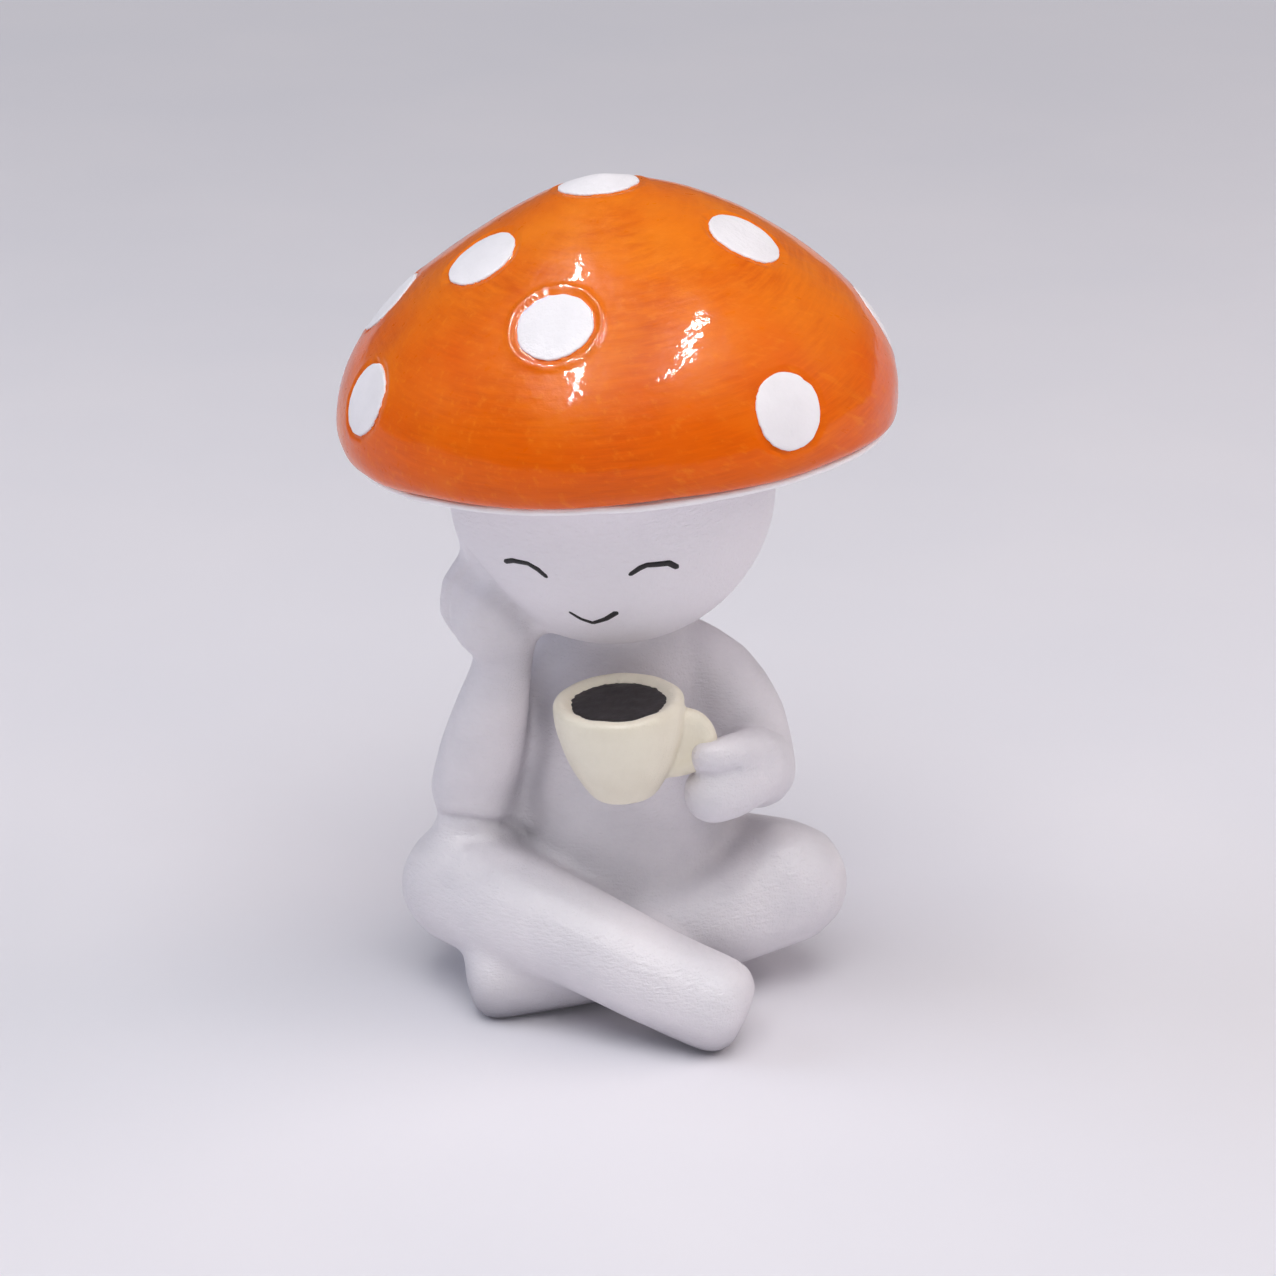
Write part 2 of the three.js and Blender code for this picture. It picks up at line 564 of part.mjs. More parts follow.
// A point of the fist, off the grip by shares of the fist's radius.
const atGrip = (...shares) => grip.toArray().map((value, i) => value + FIST_RADIUS * shares[i]);
const LEFT_ELBOW =
	[TORSO_X + LEFT_ELBOW_SPREAD, TORSO_Y - LEFT_ELBOW_FORWARD, LEFT_ELBOW_HEIGHT, LEFT_ELBOW_RADIUS];
const LEFT_UPPER_ARM = [
	shoulder(1),
	[...bowed(shoulder(1), LEFT_ELBOW, 0.35, UPPER_ARM_RADIUS, [0.25, 0.25, 0.43]), UPPER_ARM_RADIUS],
	[...bowed(shoulder(1), LEFT_ELBOW, 0.65, UPPER_ARM_RADIUS, [0.4, 0.1, 0.24]), UPPER_ARM_RADIUS],
	LEFT_ELBOW,
];
const LEFT_FOREARM = [
	LEFT_ELBOW,
	[...bowed(LEFT_ELBOW, atGrip(1.38, 1.03, -0.31), 0.5), LEFT_ELBOW_RADIUS * 0.96],
	[...atGrip(1.28, 0.92, -0.31), WRIST_RADIUS * 1.1],
];
const LEFT_FINGERS = [
	[...atGrip(1.38, 0.77, 0.15), FINGER_RADIUS * 1.25],
	[...atGrip(0.61, -0.13, 0.46), FINGER_RADIUS * 1.04],
	[...atGrip(-0.04, -0.38, 0.55), FINGER_RADIUS * 0.88],
];
const LEFT_FIST = [
	[...atGrip(1.17, 0.77, -0.46), FIST_RADIUS * 1.03],
	[...atGrip(0.56, 0.13, -0.63), FIST_RADIUS],
	[...atGrip(0.15, -0.08, -0.77), FIST_RADIUS * 0.92],
];
const leftArmForm = (grow) => union(
	limb(LEFT_UPPER_ARM, grow),
	limb(LEFT_FOREARM, grow),
	limb(LEFT_FINGERS, grow),
	limb(LEFT_FIST, grow),
);

// Pins between the body's castings: [middle, direction]
const headDown = new THREE.Vector3(0, 0, -1).transformDirection(headPlace);
const shoulderPin = (side, drop) => [
	TORSO_X + side * SHOULDER_SPREAD * 1.5,
	TORSO_Y - UPPER_ARM_RADIUS / 5,
	SHOULDER_HEIGHT - UPPER_ARM_RADIUS * drop,
];
const hipPin = (side) => [
	TORSO_X + side * HIP_RADIUS * 0.92,
	TORSO_Y - THIGH_RADIUS / 5,
	(hip(side)[2] + KNEE_HEIGHT) / 2,
];
const PINS = {
	neck_pin: [[TORSO_X, TORSO_Y - NECK_RADIUS / 5, CHIN_HEIGHT + PIN_RADIUS], headDown.toArray()],
	right_shoulder_pin: [shoulderPin(-1, 0.4), [-1, 0, -0.7]],
	left_shoulder_pin: [shoulderPin(1, 0.2), [1, 0, -0.4]],
	right_hip_pin: [hipPin(-1), [-1, -0.3, 0.1]],
	left_hip_pin: [hipPin(1), [1, -0.3, 0.1]],
};
const pinForm = (name, grow) => {
	const [middle, direction] = PINS[name];
	const reach = vec(direction).normalize().multiplyScalar(PIN_HALF_LENGTH + grow);
	return bar(vec(middle).sub(reach).toArray(), vec(middle).add(reach).toArray(), PIN_RADIUS + grow);
};
const pinHoles = (...names) => names.map((name) => pinForm(name, PIN_GAP));

// Castings, each cut back from the ones that it is glued to
const makeHead = () => cutBy(
	headForm(0),
	moved(capPin(PIN_GAP), capPlace),
	moved(pinForm('neck_pin', PIN_GAP), headPlace.clone().invert()),
	...Object.values(FACE_LINES).map(faceGroove),
);
const makeTorso = () => aboveFloor(cutBy(torsoForm(0), headInBody(GLUE_GAP), ...pinHoles(...Object.keys(PINS))));
const makeRightLeg = () => aboveFloor(cutBy(rightLegForm(0), torsoForm(GLUE_GAP), ...pinHoles('right_hip_pin')));
const makeLeftLeg = () => aboveFloor(cutBy(
	leftLegForm(0),
	torsoForm(GLUE_GAP),
	rightLegForm(GLUE_GAP),
	...pinHoles('left_hip_pin'),
));
const makeRightArm = () => cutBy(
	rightArmForm(0),
	torsoForm(GLUE_GAP),
	rightLegForm(GLUE_GAP),
	headInBody(GLUE_GAP),
	...pinHoles('right_shoulder_pin'),
);
const makeLeftArm = () => cutBy(
	leftArmForm(0),
	torsoForm(GLUE_GAP),
	headInBody(GLUE_GAP),
	leftLegForm(GLUE_GAP),
	cupInBody(GLUE_GAP),
	...pinHoles('left_shoulder_pin'),
);

// Finishes
const paint = (color, roughness, metalness = 0) => new THREE.MeshStandardMaterial({ color, roughness, metalness });
const FIGURE_WHITE = paint(0xd9d6dc, 0.55);
const SPOT_WHITE = paint(0xf2eeee, 0.4);
const ORANGE = paint(0xe2651c, 0.22);
const CREAM = paint(0xe2d9c2, 0.5);
const COFFEE = paint(0x2a2224, 0.35);
const INK = paint(0x231f22, 0.5);
const STEEL = paint(0x9a9da1, 0.3, 1);

const piece = (name, solid, material) => {
	const mesh = new THREE.Mesh(geometryOf(solid), material.clone());
	mesh.name = name;
	return mesh;
};
const place = (matrix, ...children) => {
	const group = new THREE.Group();
	group.add(...children);
	group.applyMatrix4(matrix);
	return group;
};

// Assembly
const face = place(
	faceTurn,
	...Object.entries(FACE_LINES).map(([name, line]) => piece(name, makeFaceLine(line), INK)),
);
const cap = place(
	capPlace,
	piece('cap', makeCap(), ORANGE),
	piece('cap_underside', makeUnderside(), FIGURE_WHITE),
	piece('cap_pin', capPin(0), STEEL),
	...SPOTS.map((spot, i) => piece(`cap_spot_${String(i + 1).padStart(2, '0')}`, makeSpot(spot), SPOT_WHITE)),
);
const head = place(headPlace, piece('head', makeHead(), FIGURE_WHITE), face, cap);
const cup = place(cupPlace, piece('cup', makeCup(), CREAM), piece('coffee', makeCoffee(), COFFEE));

const figure = new THREE.Group();
figure.add(
	piece('torso', makeTorso(), FIGURE_WHITE),
	piece('right_leg', makeRightLeg(), FIGURE_WHITE),
	piece('left_leg', makeLeftLeg(), FIGURE_WHITE),
	piece('right_arm', makeRightArm(), FIGURE_WHITE),
	piece('left_arm', makeLeftArm(), FIGURE_WHITE),
	...Object.keys(PINS).map((name) => piece(name, pinForm(name, 0), STEEL)),
	head,
	cup,
);

// The origin is the middle of the ornament's footprint, on the surface that it stands on.
const extent = new THREE.Box3().setFromObject(figure, true);
const middle = extent.getCenter(new THREE.Vector3());
figure.position.set(-middle.x, -middle.y, -extent.min.z);

export default figure;
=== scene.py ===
"""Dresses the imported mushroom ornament: a seated figure under a spotted cap, with a cup of coffee.

The castings of the figure are joined, smoothed and cut apart again, so that their creases are soft and no
seam shows, as on the painted ornament. The cap, its spots, the cup and the painted lines are modelled afresh
on the frame. Shapes are worked out in millimetres and turned to metres when a piece is finished.
"""
import logging
import math
from abc import ABC, abstractmethod
from collections.abc import Iterable
from dataclasses import dataclass, field
from enum import Enum

import bmesh
import bpy
from mathutils import Matrix, Vector, noise
from mathutils.bvhtree import BVHTree


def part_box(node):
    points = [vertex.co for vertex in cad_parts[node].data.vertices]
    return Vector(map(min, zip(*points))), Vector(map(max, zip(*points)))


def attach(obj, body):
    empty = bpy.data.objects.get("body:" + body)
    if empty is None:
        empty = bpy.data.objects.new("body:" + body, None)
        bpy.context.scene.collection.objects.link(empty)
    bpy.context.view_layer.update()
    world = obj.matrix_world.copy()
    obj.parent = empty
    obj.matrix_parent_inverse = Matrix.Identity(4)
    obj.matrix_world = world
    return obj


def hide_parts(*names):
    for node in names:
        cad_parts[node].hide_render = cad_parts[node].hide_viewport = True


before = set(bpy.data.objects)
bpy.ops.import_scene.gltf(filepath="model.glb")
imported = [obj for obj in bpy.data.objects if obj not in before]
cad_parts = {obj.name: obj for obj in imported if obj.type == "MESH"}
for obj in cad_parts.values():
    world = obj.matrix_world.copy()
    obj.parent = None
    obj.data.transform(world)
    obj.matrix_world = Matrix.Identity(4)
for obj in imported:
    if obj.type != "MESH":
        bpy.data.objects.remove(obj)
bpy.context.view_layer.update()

LOG = logging.getLogger("ornament")
MM = 0.001
UP = Vector((0, 0, 1))
MERGE = 1e-4


class Slot(Enum):
    """The record's material slots."""

    FIGURE = "figure_white"
    CAP = "cap_orange"
    SPOT = "spot_white"
    CUP = "cup_cream"
    COFFEE = "coffee_brown"
    FACE = "face_black"
    PIN = "pin_steel"


class Casting(Enum):
    """The castings of the figure, as the frame names them."""

    HEAD = "head"
    TORSO = "torso"
    RIGHT_ARM = "right_arm"
    LEFT_ARM = "left_arm"
    RIGHT_LEG = "right_leg"
    LEFT_LEG = "left_leg"


def linear(hex_colour: str) -> tuple[float, float, float, float]:
    """Turns an sRGB colour into the linear one that a shader takes.

    Args:
        hex_colour: the colour, such as "#e2651c".

    Returns:
        Red, green, blue and an alpha of 1.
    """
    parts = [int(hex_colour[i:i + 2], 16) / 255 for i in (1, 3, 5)]
    red, green, blue = [c / 12.92 if c <= 0.04045 else ((c + 0.055) / 1.055) ** 2.4 for c in parts]
    return red, green, blue, 1.0


def add_node(tree: bpy.types.NodeTree, kind: str, links: dict[str | int, bpy.types.NodeSocket] | None = None,
             sockets: dict[str | int, object] | None = None, **settings: object) -> bpy.types.Node:
    """Adds a shader node.

    Args:
        tree: the material's or the world's tree.
        kind: the node's type, without its "ShaderNode".
        links: the output that feeds each input, by the input's name or number.
        sockets: the value of each input that nothing feeds.
        settings: the node's own settings.

    Returns:
        The new node.
    """
    node = tree.nodes.new("ShaderNode" + kind)
    for name, value in settings.items():
        setattr(node, name, value)
    for name, value in (sockets or {}).items():
        node.inputs[name].default_value = value
    for name, output in (links or {}).items():
        tree.links.new(output, node.inputs[name])
    return node


@dataclass(frozen=True)
class Grain:
    """A pattern of fine lumps or brush marks, in millimetres.

    Attributes:
        size: how far apart the marks are.
        stretch: how many times longer they are than wide, along X, Y and Z.
        turn: how the marks are turned, in degrees about X, Y and Z.
        detail: how many finer layers they have.
        roughness: how strong the finer layers are.
    """

    size: float
    stretch: tuple[float, float, float] = (1, 1, 1)
    turn: tuple[float, float, float] = (0, 0, 0)
    detail: float = 3
    roughness: float = 0.5

    def output(self, tree: bpy.types.NodeTree) -> bpy.types.NodeSocket:
        """Adds the pattern to a tree.

        Args:
            tree: the material's tree.

        Returns:
            The pattern, from about 0.3 to 0.7.
        """
        place = add_node(tree, "TexCoord").outputs["Object"]
        scale = [1 / (self.size * MM * s) for s in self.stretch]
        turned = add_node(tree, "Mapping", {"Vector": place}, vector_type="TEXTURE",
                          sockets={"Rotation": [math.radians(a) for a in self.turn]}).outputs["Vector"]
        sized = add_node(tree, "Mapping", {"Vector": turned}, sockets={"Scale": scale}).outputs["Vector"]
        return add_node(tree, "TexNoise", {"Vector": sized},
                        {"Scale": 1.0, "Detail": self.detail, "Roughness": self.roughness}).outputs["Fac"]


class Finish(ABC):
    """A surface of the ornament, made once and shared by the pieces that have it."""

    name: str

    @abstractmethod
    def shade(self, tree: bpy.types.NodeTree, shader: bpy.types.Node) -> None:
        """Sets the shader's sockets and feeds them."""

    def material(self) -> bpy.types.Material:
        """Makes the finish's material, or finds the one that was made before.

        Returns:
            The material.
        """
        found = bpy.data.materials.get(self.name)
        if found:
            return found
        made = bpy.data.materials.new(self.name)
        made.use_nodes = True
        self.shade(made.node_tree, made.node_tree.nodes["Principled BSDF"])
        return made


def ramp(tree: bpy.types.NodeTree, factor: bpy.types.NodeSocket, low: float, high: float,
         first: str, second: str) -> bpy.types.NodeSocket:
    """Spreads a pattern over two colours.

    Args:
        tree: the material's tree.
        factor: the pattern.
        low: the pattern's value that gives the first colour.
        high: the pattern's value that gives the second colour.
        first: the first colour, as sRGB hex.
        second: the second colour, as sRGB hex.

    Returns:
        The colour.
    """
    node = add_node(tree, "ValToRGB", {"Fac": factor})
    for stop, place, colour in zip(node.color_ramp.elements, (low, high), (first, second)):
        stop.position = place
        stop.color = linear(colour)
    return node.outputs["Color"]


def spread(tree: bpy.types.NodeTree, factor: bpy.types.NodeSocket,
           low: float, high: float) -> bpy.types.NodeSocket:
    """Returns a pattern's middle range, 0.3 to 0.7, spread from low to high."""
    return add_node(tree, "MapRange", {"Value": factor},
                    {"From Min": 0.3, "From Max": 0.7, "To Min": low, "To Max": high}).outputs["Result"]


def bumps(tree: bpy.types.NodeTree, *layers: tuple[bpy.types.NodeSocket, float]) -> bpy.types.NodeSocket:
    """Lays relief on a surface.

    Args:
        tree: the material's tree.
        layers: each pattern with its height in millimetres.

    Returns:
        The normal.
    """
    normal = None
    for pattern, height in layers:
        links = {"Height": pattern}
        if normal:
            links["Normal"] = normal
        normal = add_node(tree, "Bump", links, {"Strength": 1.0, "Distance": height * MM}).outputs["Normal"]
    return normal


@dataclass(frozen=True)
class BrushedAcrylic(Finish):
    """Satin acrylic paint, brushed by hand over cast resin.

    It looks soft and slightly chalky. Fine ripples of the brush catch the light, its colour drifts a little
    where the coat is thinner, and painted shade greys it where two parts meet or other skin is near.

    Attributes:
        name: the material's name.
        light: the colour where the coat is thick.
        dark: the colour where it is thin.
        painted_shade: the grey of the painted shade, full in the most sheltered places.
        brush: the brush marks.
        relief: how high the brush marks stand, in millimetres.
        roughness: how matt it is, at its smoothest and its roughest.
        pitted: how deep the pores are, as a share of the relief.
        painted_shading: the shelter at which the painted shade starts to show, and at which it is full.
        second: a lighter white, painted light for the brighter light on the head.
        It is where the surface's painted_head_light value is 1.
    """

    name: str
    light: str
    dark: str
    painted_shade: str
    brush: Grain
    relief: float = 0.03
    roughness: tuple[float, float] = (0.34, 0.5)
    pitted: float = 0.45
    painted_shading: tuple[float, float] = (0.06, 0.8)
    second: str = "#f0ebf0"

    def shade(self, tree: bpy.types.NodeTree, shader: bpy.types.Node) -> None:
        """Sets colour drift, the painted shade in sheltered places, brush relief and an uneven sheen.

        Args:
            tree: the material's tree.
            shader: its main shader.
        """
        coat = Grain(9, detail=4).output(tree)
        brush = self.brush.output(tree)
        # The paint's own pores are finer than the render shows, so they are drawn at 0.22 mm.
        pores = Grain(0.22, detail=2).output(tree)
        ground = ramp(tree, coat, 0.35, 0.65, self.dark, self.light)
        # Painted light: a lighter white on the head, for the brighter light on it.
        twice = add_node(tree, "Attribute", attribute_name="painted_head_light").outputs["Fac"]
        head_lit = add_node(tree, "MixRGB", {"Fac": twice, "Color1": ground}, {"Color2": linear(self.second)})
        # Painted shade: grey where other skin or the table is near, in creases and under other parts.
        sheltered = add_node(tree, "Attribute", attribute_name="shelter").outputs["Fac"]
        painted_shading = add_node(tree, "MapRange", {"Value": sheltered},
                            {"From Min": self.painted_shading[0], "From Max": self.painted_shading[1]}).outputs["Result"]
        with_painted_shade = add_node(tree, "MixRGB", {"Fac": painted_shading, "Color1": head_lit.outputs["Color"]},
                          {"Color2": linear(self.painted_shade)})
        tree.links.new(with_painted_shade.outputs["Color"], shader.inputs["Base Color"])
        tree.links.new(spread(tree, brush, *self.roughness), shader.inputs["Roughness"])
        normal = bumps(tree, (brush, self.relief), (pores, self.relief * self.pitted))
        tree.links.new(normal, shader.inputs["Normal"])
        shader.inputs["IOR"].default_value = 1.5


@dataclass(frozen=True)
class VarnishedOrange(Finish):
    """Orange acrylic, brushed round the cap in thin coats, under a clear gloss varnish.

    Towards the crown and the figure's left it is lighter and yellower: that is painted light.
    In patches the coat is thinner, and deeper streaks show where the brush went twice.
    The varnish gives sharp highlights, which break up on the brush ridges below it.

    Attributes:
        name: the material's name.
        deep: the colour of the double coats.
        body: the colour of the full coat.
        thin: the colour of the thin coat, and of the painted light near the crown.
        light_from: the height on the cap, in millimetres, at which the painted light starts.
        light_over: the height over which the painted light grows, in millimetres.
        light_side: how far to either side of the middle the painted light still changes, in millimetres.
        light_least: the share of the painted light that is left on the figure's right.
        rubbed: the brush sweeps' values between which the coat is rubbed thin.
        rubbed_share: how much of the thin coat's colour shows there.
        coat: the roughness of the orange below the varnish, at its smoothest and its roughest.
        varnish: how much of the surface's gloss is the varnish's.
        varnish_roughness: how matt the varnish is.
    """

    name: str = "varnished_orange_acrylic"
    deep: str = "#cf4b00"
    body: str = "#eb6502"
    thin: str = "#fb8f1e"
    light_from: float = 76.0
    light_over: float = 22.0
    light_side: float = 30.0
    light_least: float = 0.35
    rubbed: tuple[float, float] = (0.56, 0.8)
    rubbed_share: float = 0.45
    coat: tuple[float, float] = (0.26, 0.42)
    varnish: float = 0.6
    varnish_roughness: float = 0.04

    def thinning_and_light(self, tree: bpy.types.NodeTree) -> bpy.types.NodeSocket:
        """Works out where it is lighter: painted light high up and to the figure's left, thin coat in
        patches.

        Args:
            tree: the material's tree.

        Returns:
            How much lighter it is, from 0 to 1.
        """
        place = add_node(tree, "TexCoord").outputs["Object"]
        axes = add_node(tree, "SeparateXYZ", {"Vector": place}).outputs
        # Painted light: lighter towards the crown and the figure's left, where more light falls on the cap.
        height = add_node(tree, "MapRange", {"Value": axes["Z"]}, {
            "From Min": self.light_from * MM, "From Max": (self.light_from + self.light_over) * MM,
        }).outputs["Result"]
        side = add_node(tree, "MapRange", {"Value": axes["X"]}, {
            "From Min": -self.light_side * MM, "From Max": self.light_side * MM, "To Min": self.light_least,
        }).outputs["Result"]
        both = add_node(tree, "Math", {0: height, 1: side}, operation="MULTIPLY").outputs["Value"]
        patches = spread(tree, Grain(14, detail=4).output(tree), -0.3, 0.3)
        return add_node(tree, "Math", {0: both, 1: patches}, operation="ADD", use_clamp=True).outputs["Value"]

    def shade(self, tree: bpy.types.NodeTree, shader: bpy.types.Node) -> None:
        """Sets the streaky colour and the broken gloss.

        Args:
            tree: the material's tree.
            shader: its main shader.
        """
        streaks = Grain(0.42, (11, 11, 1), (8, -5, 0), detail=5, roughness=0.65).output(tree)
        where = Grain(9, detail=2).output(tree)
        sweeps = Grain(0.7, (9, 1.2, 1.2), (0, 28, 40), detail=4, roughness=0.6).output(tree)
        # Real bristle ridges are finer. At 0.8 mm they break the highlights instead of blurring them.
        ridges = Grain(0.8, detail=2, roughness=0.45).output(tree)
        lumps = Grain(3.4, detail=2).output(tree)
        ground = ramp(tree, self.thinning_and_light(tree), 0.0, 1.0, self.body, self.thin)
        twice = spread(tree, streaks, 0.0, 0.7)
        patches = spread(tree, where, 0.1, 1.0)
        amount = add_node(tree, "Math", {0: twice, 1: patches}, operation="MULTIPLY").outputs["Value"]
        streaky = add_node(tree, "MixRGB", {"Fac": amount, "Color1": ground}, {"Color2": linear(self.deep)})
        thinned = add_node(tree, "MapRange", {"Value": sweeps}, {
            "From Min": self.rubbed[0], "From Max": self.rubbed[1], "To Max": self.rubbed_share,
        }).outputs["Result"]
        scuffed = add_node(tree, "MixRGB", {"Fac": thinned, "Color1": streaky.outputs["Color"]},
                           {"Color2": linear(self.thin)})
        tree.links.new(scuffed.outputs["Color"], shader.inputs["Base Color"])
        tree.links.new(spread(tree, sweeps, *self.coat), shader.inputs["Roughness"])
        tree.links.new(bumps(tree, (lumps, 0.08), (streaks, 0.02), (sweeps, 0.04)), shader.inputs["Normal"])
        shader.inputs["IOR"].default_value = 1.45
        shader.inputs["Specular IOR Level"].default_value = 0.1
        shader.inputs["Coat Weight"].default_value = self.varnish
        shader.inputs["Coat IOR"].default_value = 1.33
        shader.inputs["Coat Roughness"].default_value = self.varnish_roughness
        tree.links.new(bumps(tree, (lumps, 0.04), (ridges, 0.03)), shader.inputs["Coat Normal"])


@dataclass(frozen=True)
class CoffeePaint(Finish):
    """Very dark brown acrylic, dabbed thickly into the cup. It has a slight sheen and shows the dabs."""

    name: str = "dabbed_coffee_brown_acrylic"

    def shade(self, tree: bpy.types.NodeTree, shader: bpy.types.Node) -> None:
        """Sets the dabbed colour and relief.

        Args:
            tree: the material's tree.
            shader: its main shader.
        """
        dabs = Grain(1.3, detail=3).output(tree)
        tree.links.new(ramp(tree, dabs, 0.3, 0.7, "#120e0f", "#231d1e"), shader.inputs["Base Color"])
        tree.links.new(spread(tree, dabs, 0.36, 0.55), shader.inputs["Roughness"])
        tree.links.new(bumps(tree, (dabs, 0.12)), shader.inputs["Normal"])


@dataclass(frozen=True)
class LinePaint(Finish):
    """Brown-black acrylic from a fine brush. It lies thick and slightly glossy, with fine ridges."""

    name: str = "brush_line_black_acrylic"

    def shade(self, tree: bpy.types.NodeTree, shader: bpy.types.Node) -> None:
        """Sets the stroke's colour and relief.

        Args:
            tree: the material's tree.
            shader: its main shader.
        """
        # A fine brush leaves ridges near 0.1 mm apart. They are drawn coarser, so that they show.
        ridges = Grain(0.3, detail=2).output(tree)
        tree.links.new(ramp(tree, ridges, 0.3, 0.7, "#141113", "#211c1f"), shader.inputs["Base Color"])
        tree.links.new(bumps(tree, (ridges, 0.03)), shader.inputs["Normal"])
        shader.inputs["Roughness"].default_value = 0.45


@dataclass(frozen=True)
class TurnedSteel(Finish):
    """Plain steel dowel, turned on a lathe: fine rings round it spread its highlights."""

    name: str = "turned_steel"

    def shade(self, tree: bpy.types.NodeTree, shader: bpy.types.Node) -> None:
        """Sets the metal and its tool marks.

        Args:
            tree: the material's tree.
            shader: its main shader.
        """
        # Tool marks are under 0.1 mm apart. They are drawn coarser, so that they show.
        marks = Grain(0.25, (1, 6, 6), detail=1).output(tree)
        tree.links.new(ramp(tree, marks, 0.3, 0.7, "#9a9da1", "#b4b7ba"), shader.inputs["Base Color"])
        tree.links.new(spread(tree, marks, 0.25, 0.4), shader.inputs["Roughness"])
        shader.inputs["Metallic"].default_value = 1.0


@dataclass(frozen=True)
class PaperTable(Finish):
    """A sheet of smooth, pale, slightly cool paper. It is matt, so it holds the ornament's soft shadow.

    Away from the ornament the sheet is seen in one even tone, so that the background is the same all round.

    Attributes:
        name: the material's name.
        far: the even tone.
        fade: the distances from the ornament, in metres, between which that tone takes over.
    """

    name: str = "pale_table_paper"
    far: str = "#d3d1d9"
    fade: tuple[float, float] = (0.2, 1.1)

    def shade(self, tree: bpy.types.NodeTree, shader: bpy.types.Node) -> None:
        """Sets a faintly uneven pale colour, and the even tone beyond it.

        Args:
            tree: the material's tree.
            shader: its main shader.
        """
        # The fibres are far too fine to show, so only the sheet's cloudy tone is drawn.
        clouds = Grain(60, detail=2).output(tree)
        tree.links.new(ramp(tree, clouds, 0.3, 0.7, "#e3e1e8", "#e7e4ea"), shader.inputs["Base Color"])
        shader.inputs["Roughness"].default_value = 0.8
        place = add_node(tree, "TexCoord").outputs["Object"]
        away = add_node(tree, "VectorMath", {0: place}, operation="LENGTH").outputs["Value"]
        beyond = add_node(tree, "MapRange", {"Value": away}, {
            "From Min": self.fade[0], "From Max": self.fade[1],
        }, interpolation_type="SMOOTHSTEP").outputs["Result"]
        path = add_node(tree, "LightPath").outputs
        seen = add_node(tree, "Math", {0: path["Is Camera Ray"], 1: path["Is Glossy Ray"]},
                        operation="ADD").outputs[0]
        seen = add_node(tree, "Math", {0: seen, 1: path["Is Transmission Ray"]},
                        operation="ADD", use_clamp=True).outputs[0]
        share = add_node(tree, "Math", {0: beyond, 1: seen}, operation="MULTIPLY").outputs[0]
        tone = add_node(tree, "Emission", sockets={"Color": linear(self.far)}).outputs["Emission"]
        mixed = add_node(tree, "MixShader", {0: share, 1: shader.outputs["BSDF"], 2: tone}).outputs["Shader"]
        tree.links.new(mixed, tree.nodes["Material Output"].inputs["Surface"])


# The figure's white is satin, cool and faintly rippled crosswise, with grey painted shade in its creases.
FIGURE_PAINT = BrushedAcrylic(
    "satin_white_acrylic", light="#e6e1e6", dark="#dcd8de", painted_shade="#97949c",
    brush=Grain(0.3, stretch=(3, 3, 1), turn=(6, -8, 0)), relief=0.16, roughness=(0.36, 0.5))
# The spots are dabbed thicker and whiter, and are nearly matt, so they stand out from the varnish.
SPOT_PAINT = BrushedAcrylic(
    "spot_white_acrylic", light="#f5f1f5", dark="#ece8ec", painted_shade="#e0dce0",
    brush=Grain(0.6, stretch=(1, 1, 3), turn=(25, 35, 0)), relief=0.1, roughness=(0.6, 0.75))
# The plate's white is the whitest, as painted light: its shaded edge draws a bright line under the orange.
PLATE_PAINT = BrushedAcrylic(
    "rim_white_acrylic", light="#fdfafd", dark="#f9f6f9", painted_shade="#eeebee",
    brush=Grain(0.6, stretch=(3, 3, 1), turn=(0, 0, 30)), relief=0.1, roughness=(0.5, 0.6))
# The cup's cream is warm and brushed upright, which gives its wall faint streaks.
CUP_PAINT = BrushedAcrylic(
    "cream_acrylic", light="#efe8d6", dark="#e6decb", painted_shade="#cfc7b4",
    brush=Grain(0.7, stretch=(1, 1, 4), turn=(0, 20, 0)), relief=0.12)


def copy_of(node: str) -> bmesh.types.BMesh:
    """Copies a CAD node.

    Args:
        node: the node's name.

    Returns:
        Its merged mesh, in millimetres.
    """
    bm = bmesh_of(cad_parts[node].data)
    bmesh.ops.scale(bm, vec=(1 / MM,) * 3, verts=bm.verts)
    bmesh.ops.remove_doubles(bm, verts=bm.verts, dist=0.001)
    return bm


def middle_of(node: str) -> Vector:
    """Returns the middle of a CAD node's box, in millimetres."""
    low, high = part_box(node)
    return (low + high) / (2 * MM)


def placed(name: str, data: bpy.types.ID) -> bpy.types.Object:
    """Makes an object and puts it in the scene.

    Args:
        name: the object's name.
        data: its mesh, line, lamp or camera.

    Returns:
        The object.
    """
    made = bpy.data.objects.new(name, data)
    bpy.context.scene.collection.objects.link(made)
    return made


def bmesh_of(mesh: bpy.types.Mesh) -> bmesh.types.BMesh:
    """Opens a mesh as a bmesh.

    Args:
        mesh: the mesh, which stays as it is.

    Returns:
        The bmesh.
    """
    bm = bmesh.new()
    bm.from_mesh(mesh)
    return bm


def mesh_of(bm: bmesh.types.BMesh, name: str = "work") -> bpy.types.Mesh:
    """Turns a bmesh into a mesh, and frees it.

    Args:
        bm: the bmesh.
        name: the mesh's name.

    Returns:
        The mesh.
    """
    mesh = bpy.data.meshes.new(name)
    bm.to_mesh(mesh)
    bm.free()
    return mesh


def with_modifiers(mesh: bpy.types.Mesh, *modifiers: tuple[str, dict[str, object]]) -> bpy.types.Mesh:
    """Applies modifiers to a mesh.

    Args:
        mesh: the mesh, which is removed.
        modifiers: the type and the settings of each, in order.

    Returns:
        The new mesh.
    """
    work = placed("work", mesh)
    for kind, settings in modifiers:
        modifier = work.modifiers.new(kind, kind)
        for name, value in settings.items():
            setattr(modifier, name, value)
    seen = work.evaluated_get(bpy.context.evaluated_depsgraph_get())
    made = bpy.data.meshes.new_from_object(seen)
    bpy.data.objects.remove(work)
    bpy.data.meshes.remove(mesh)
    return made


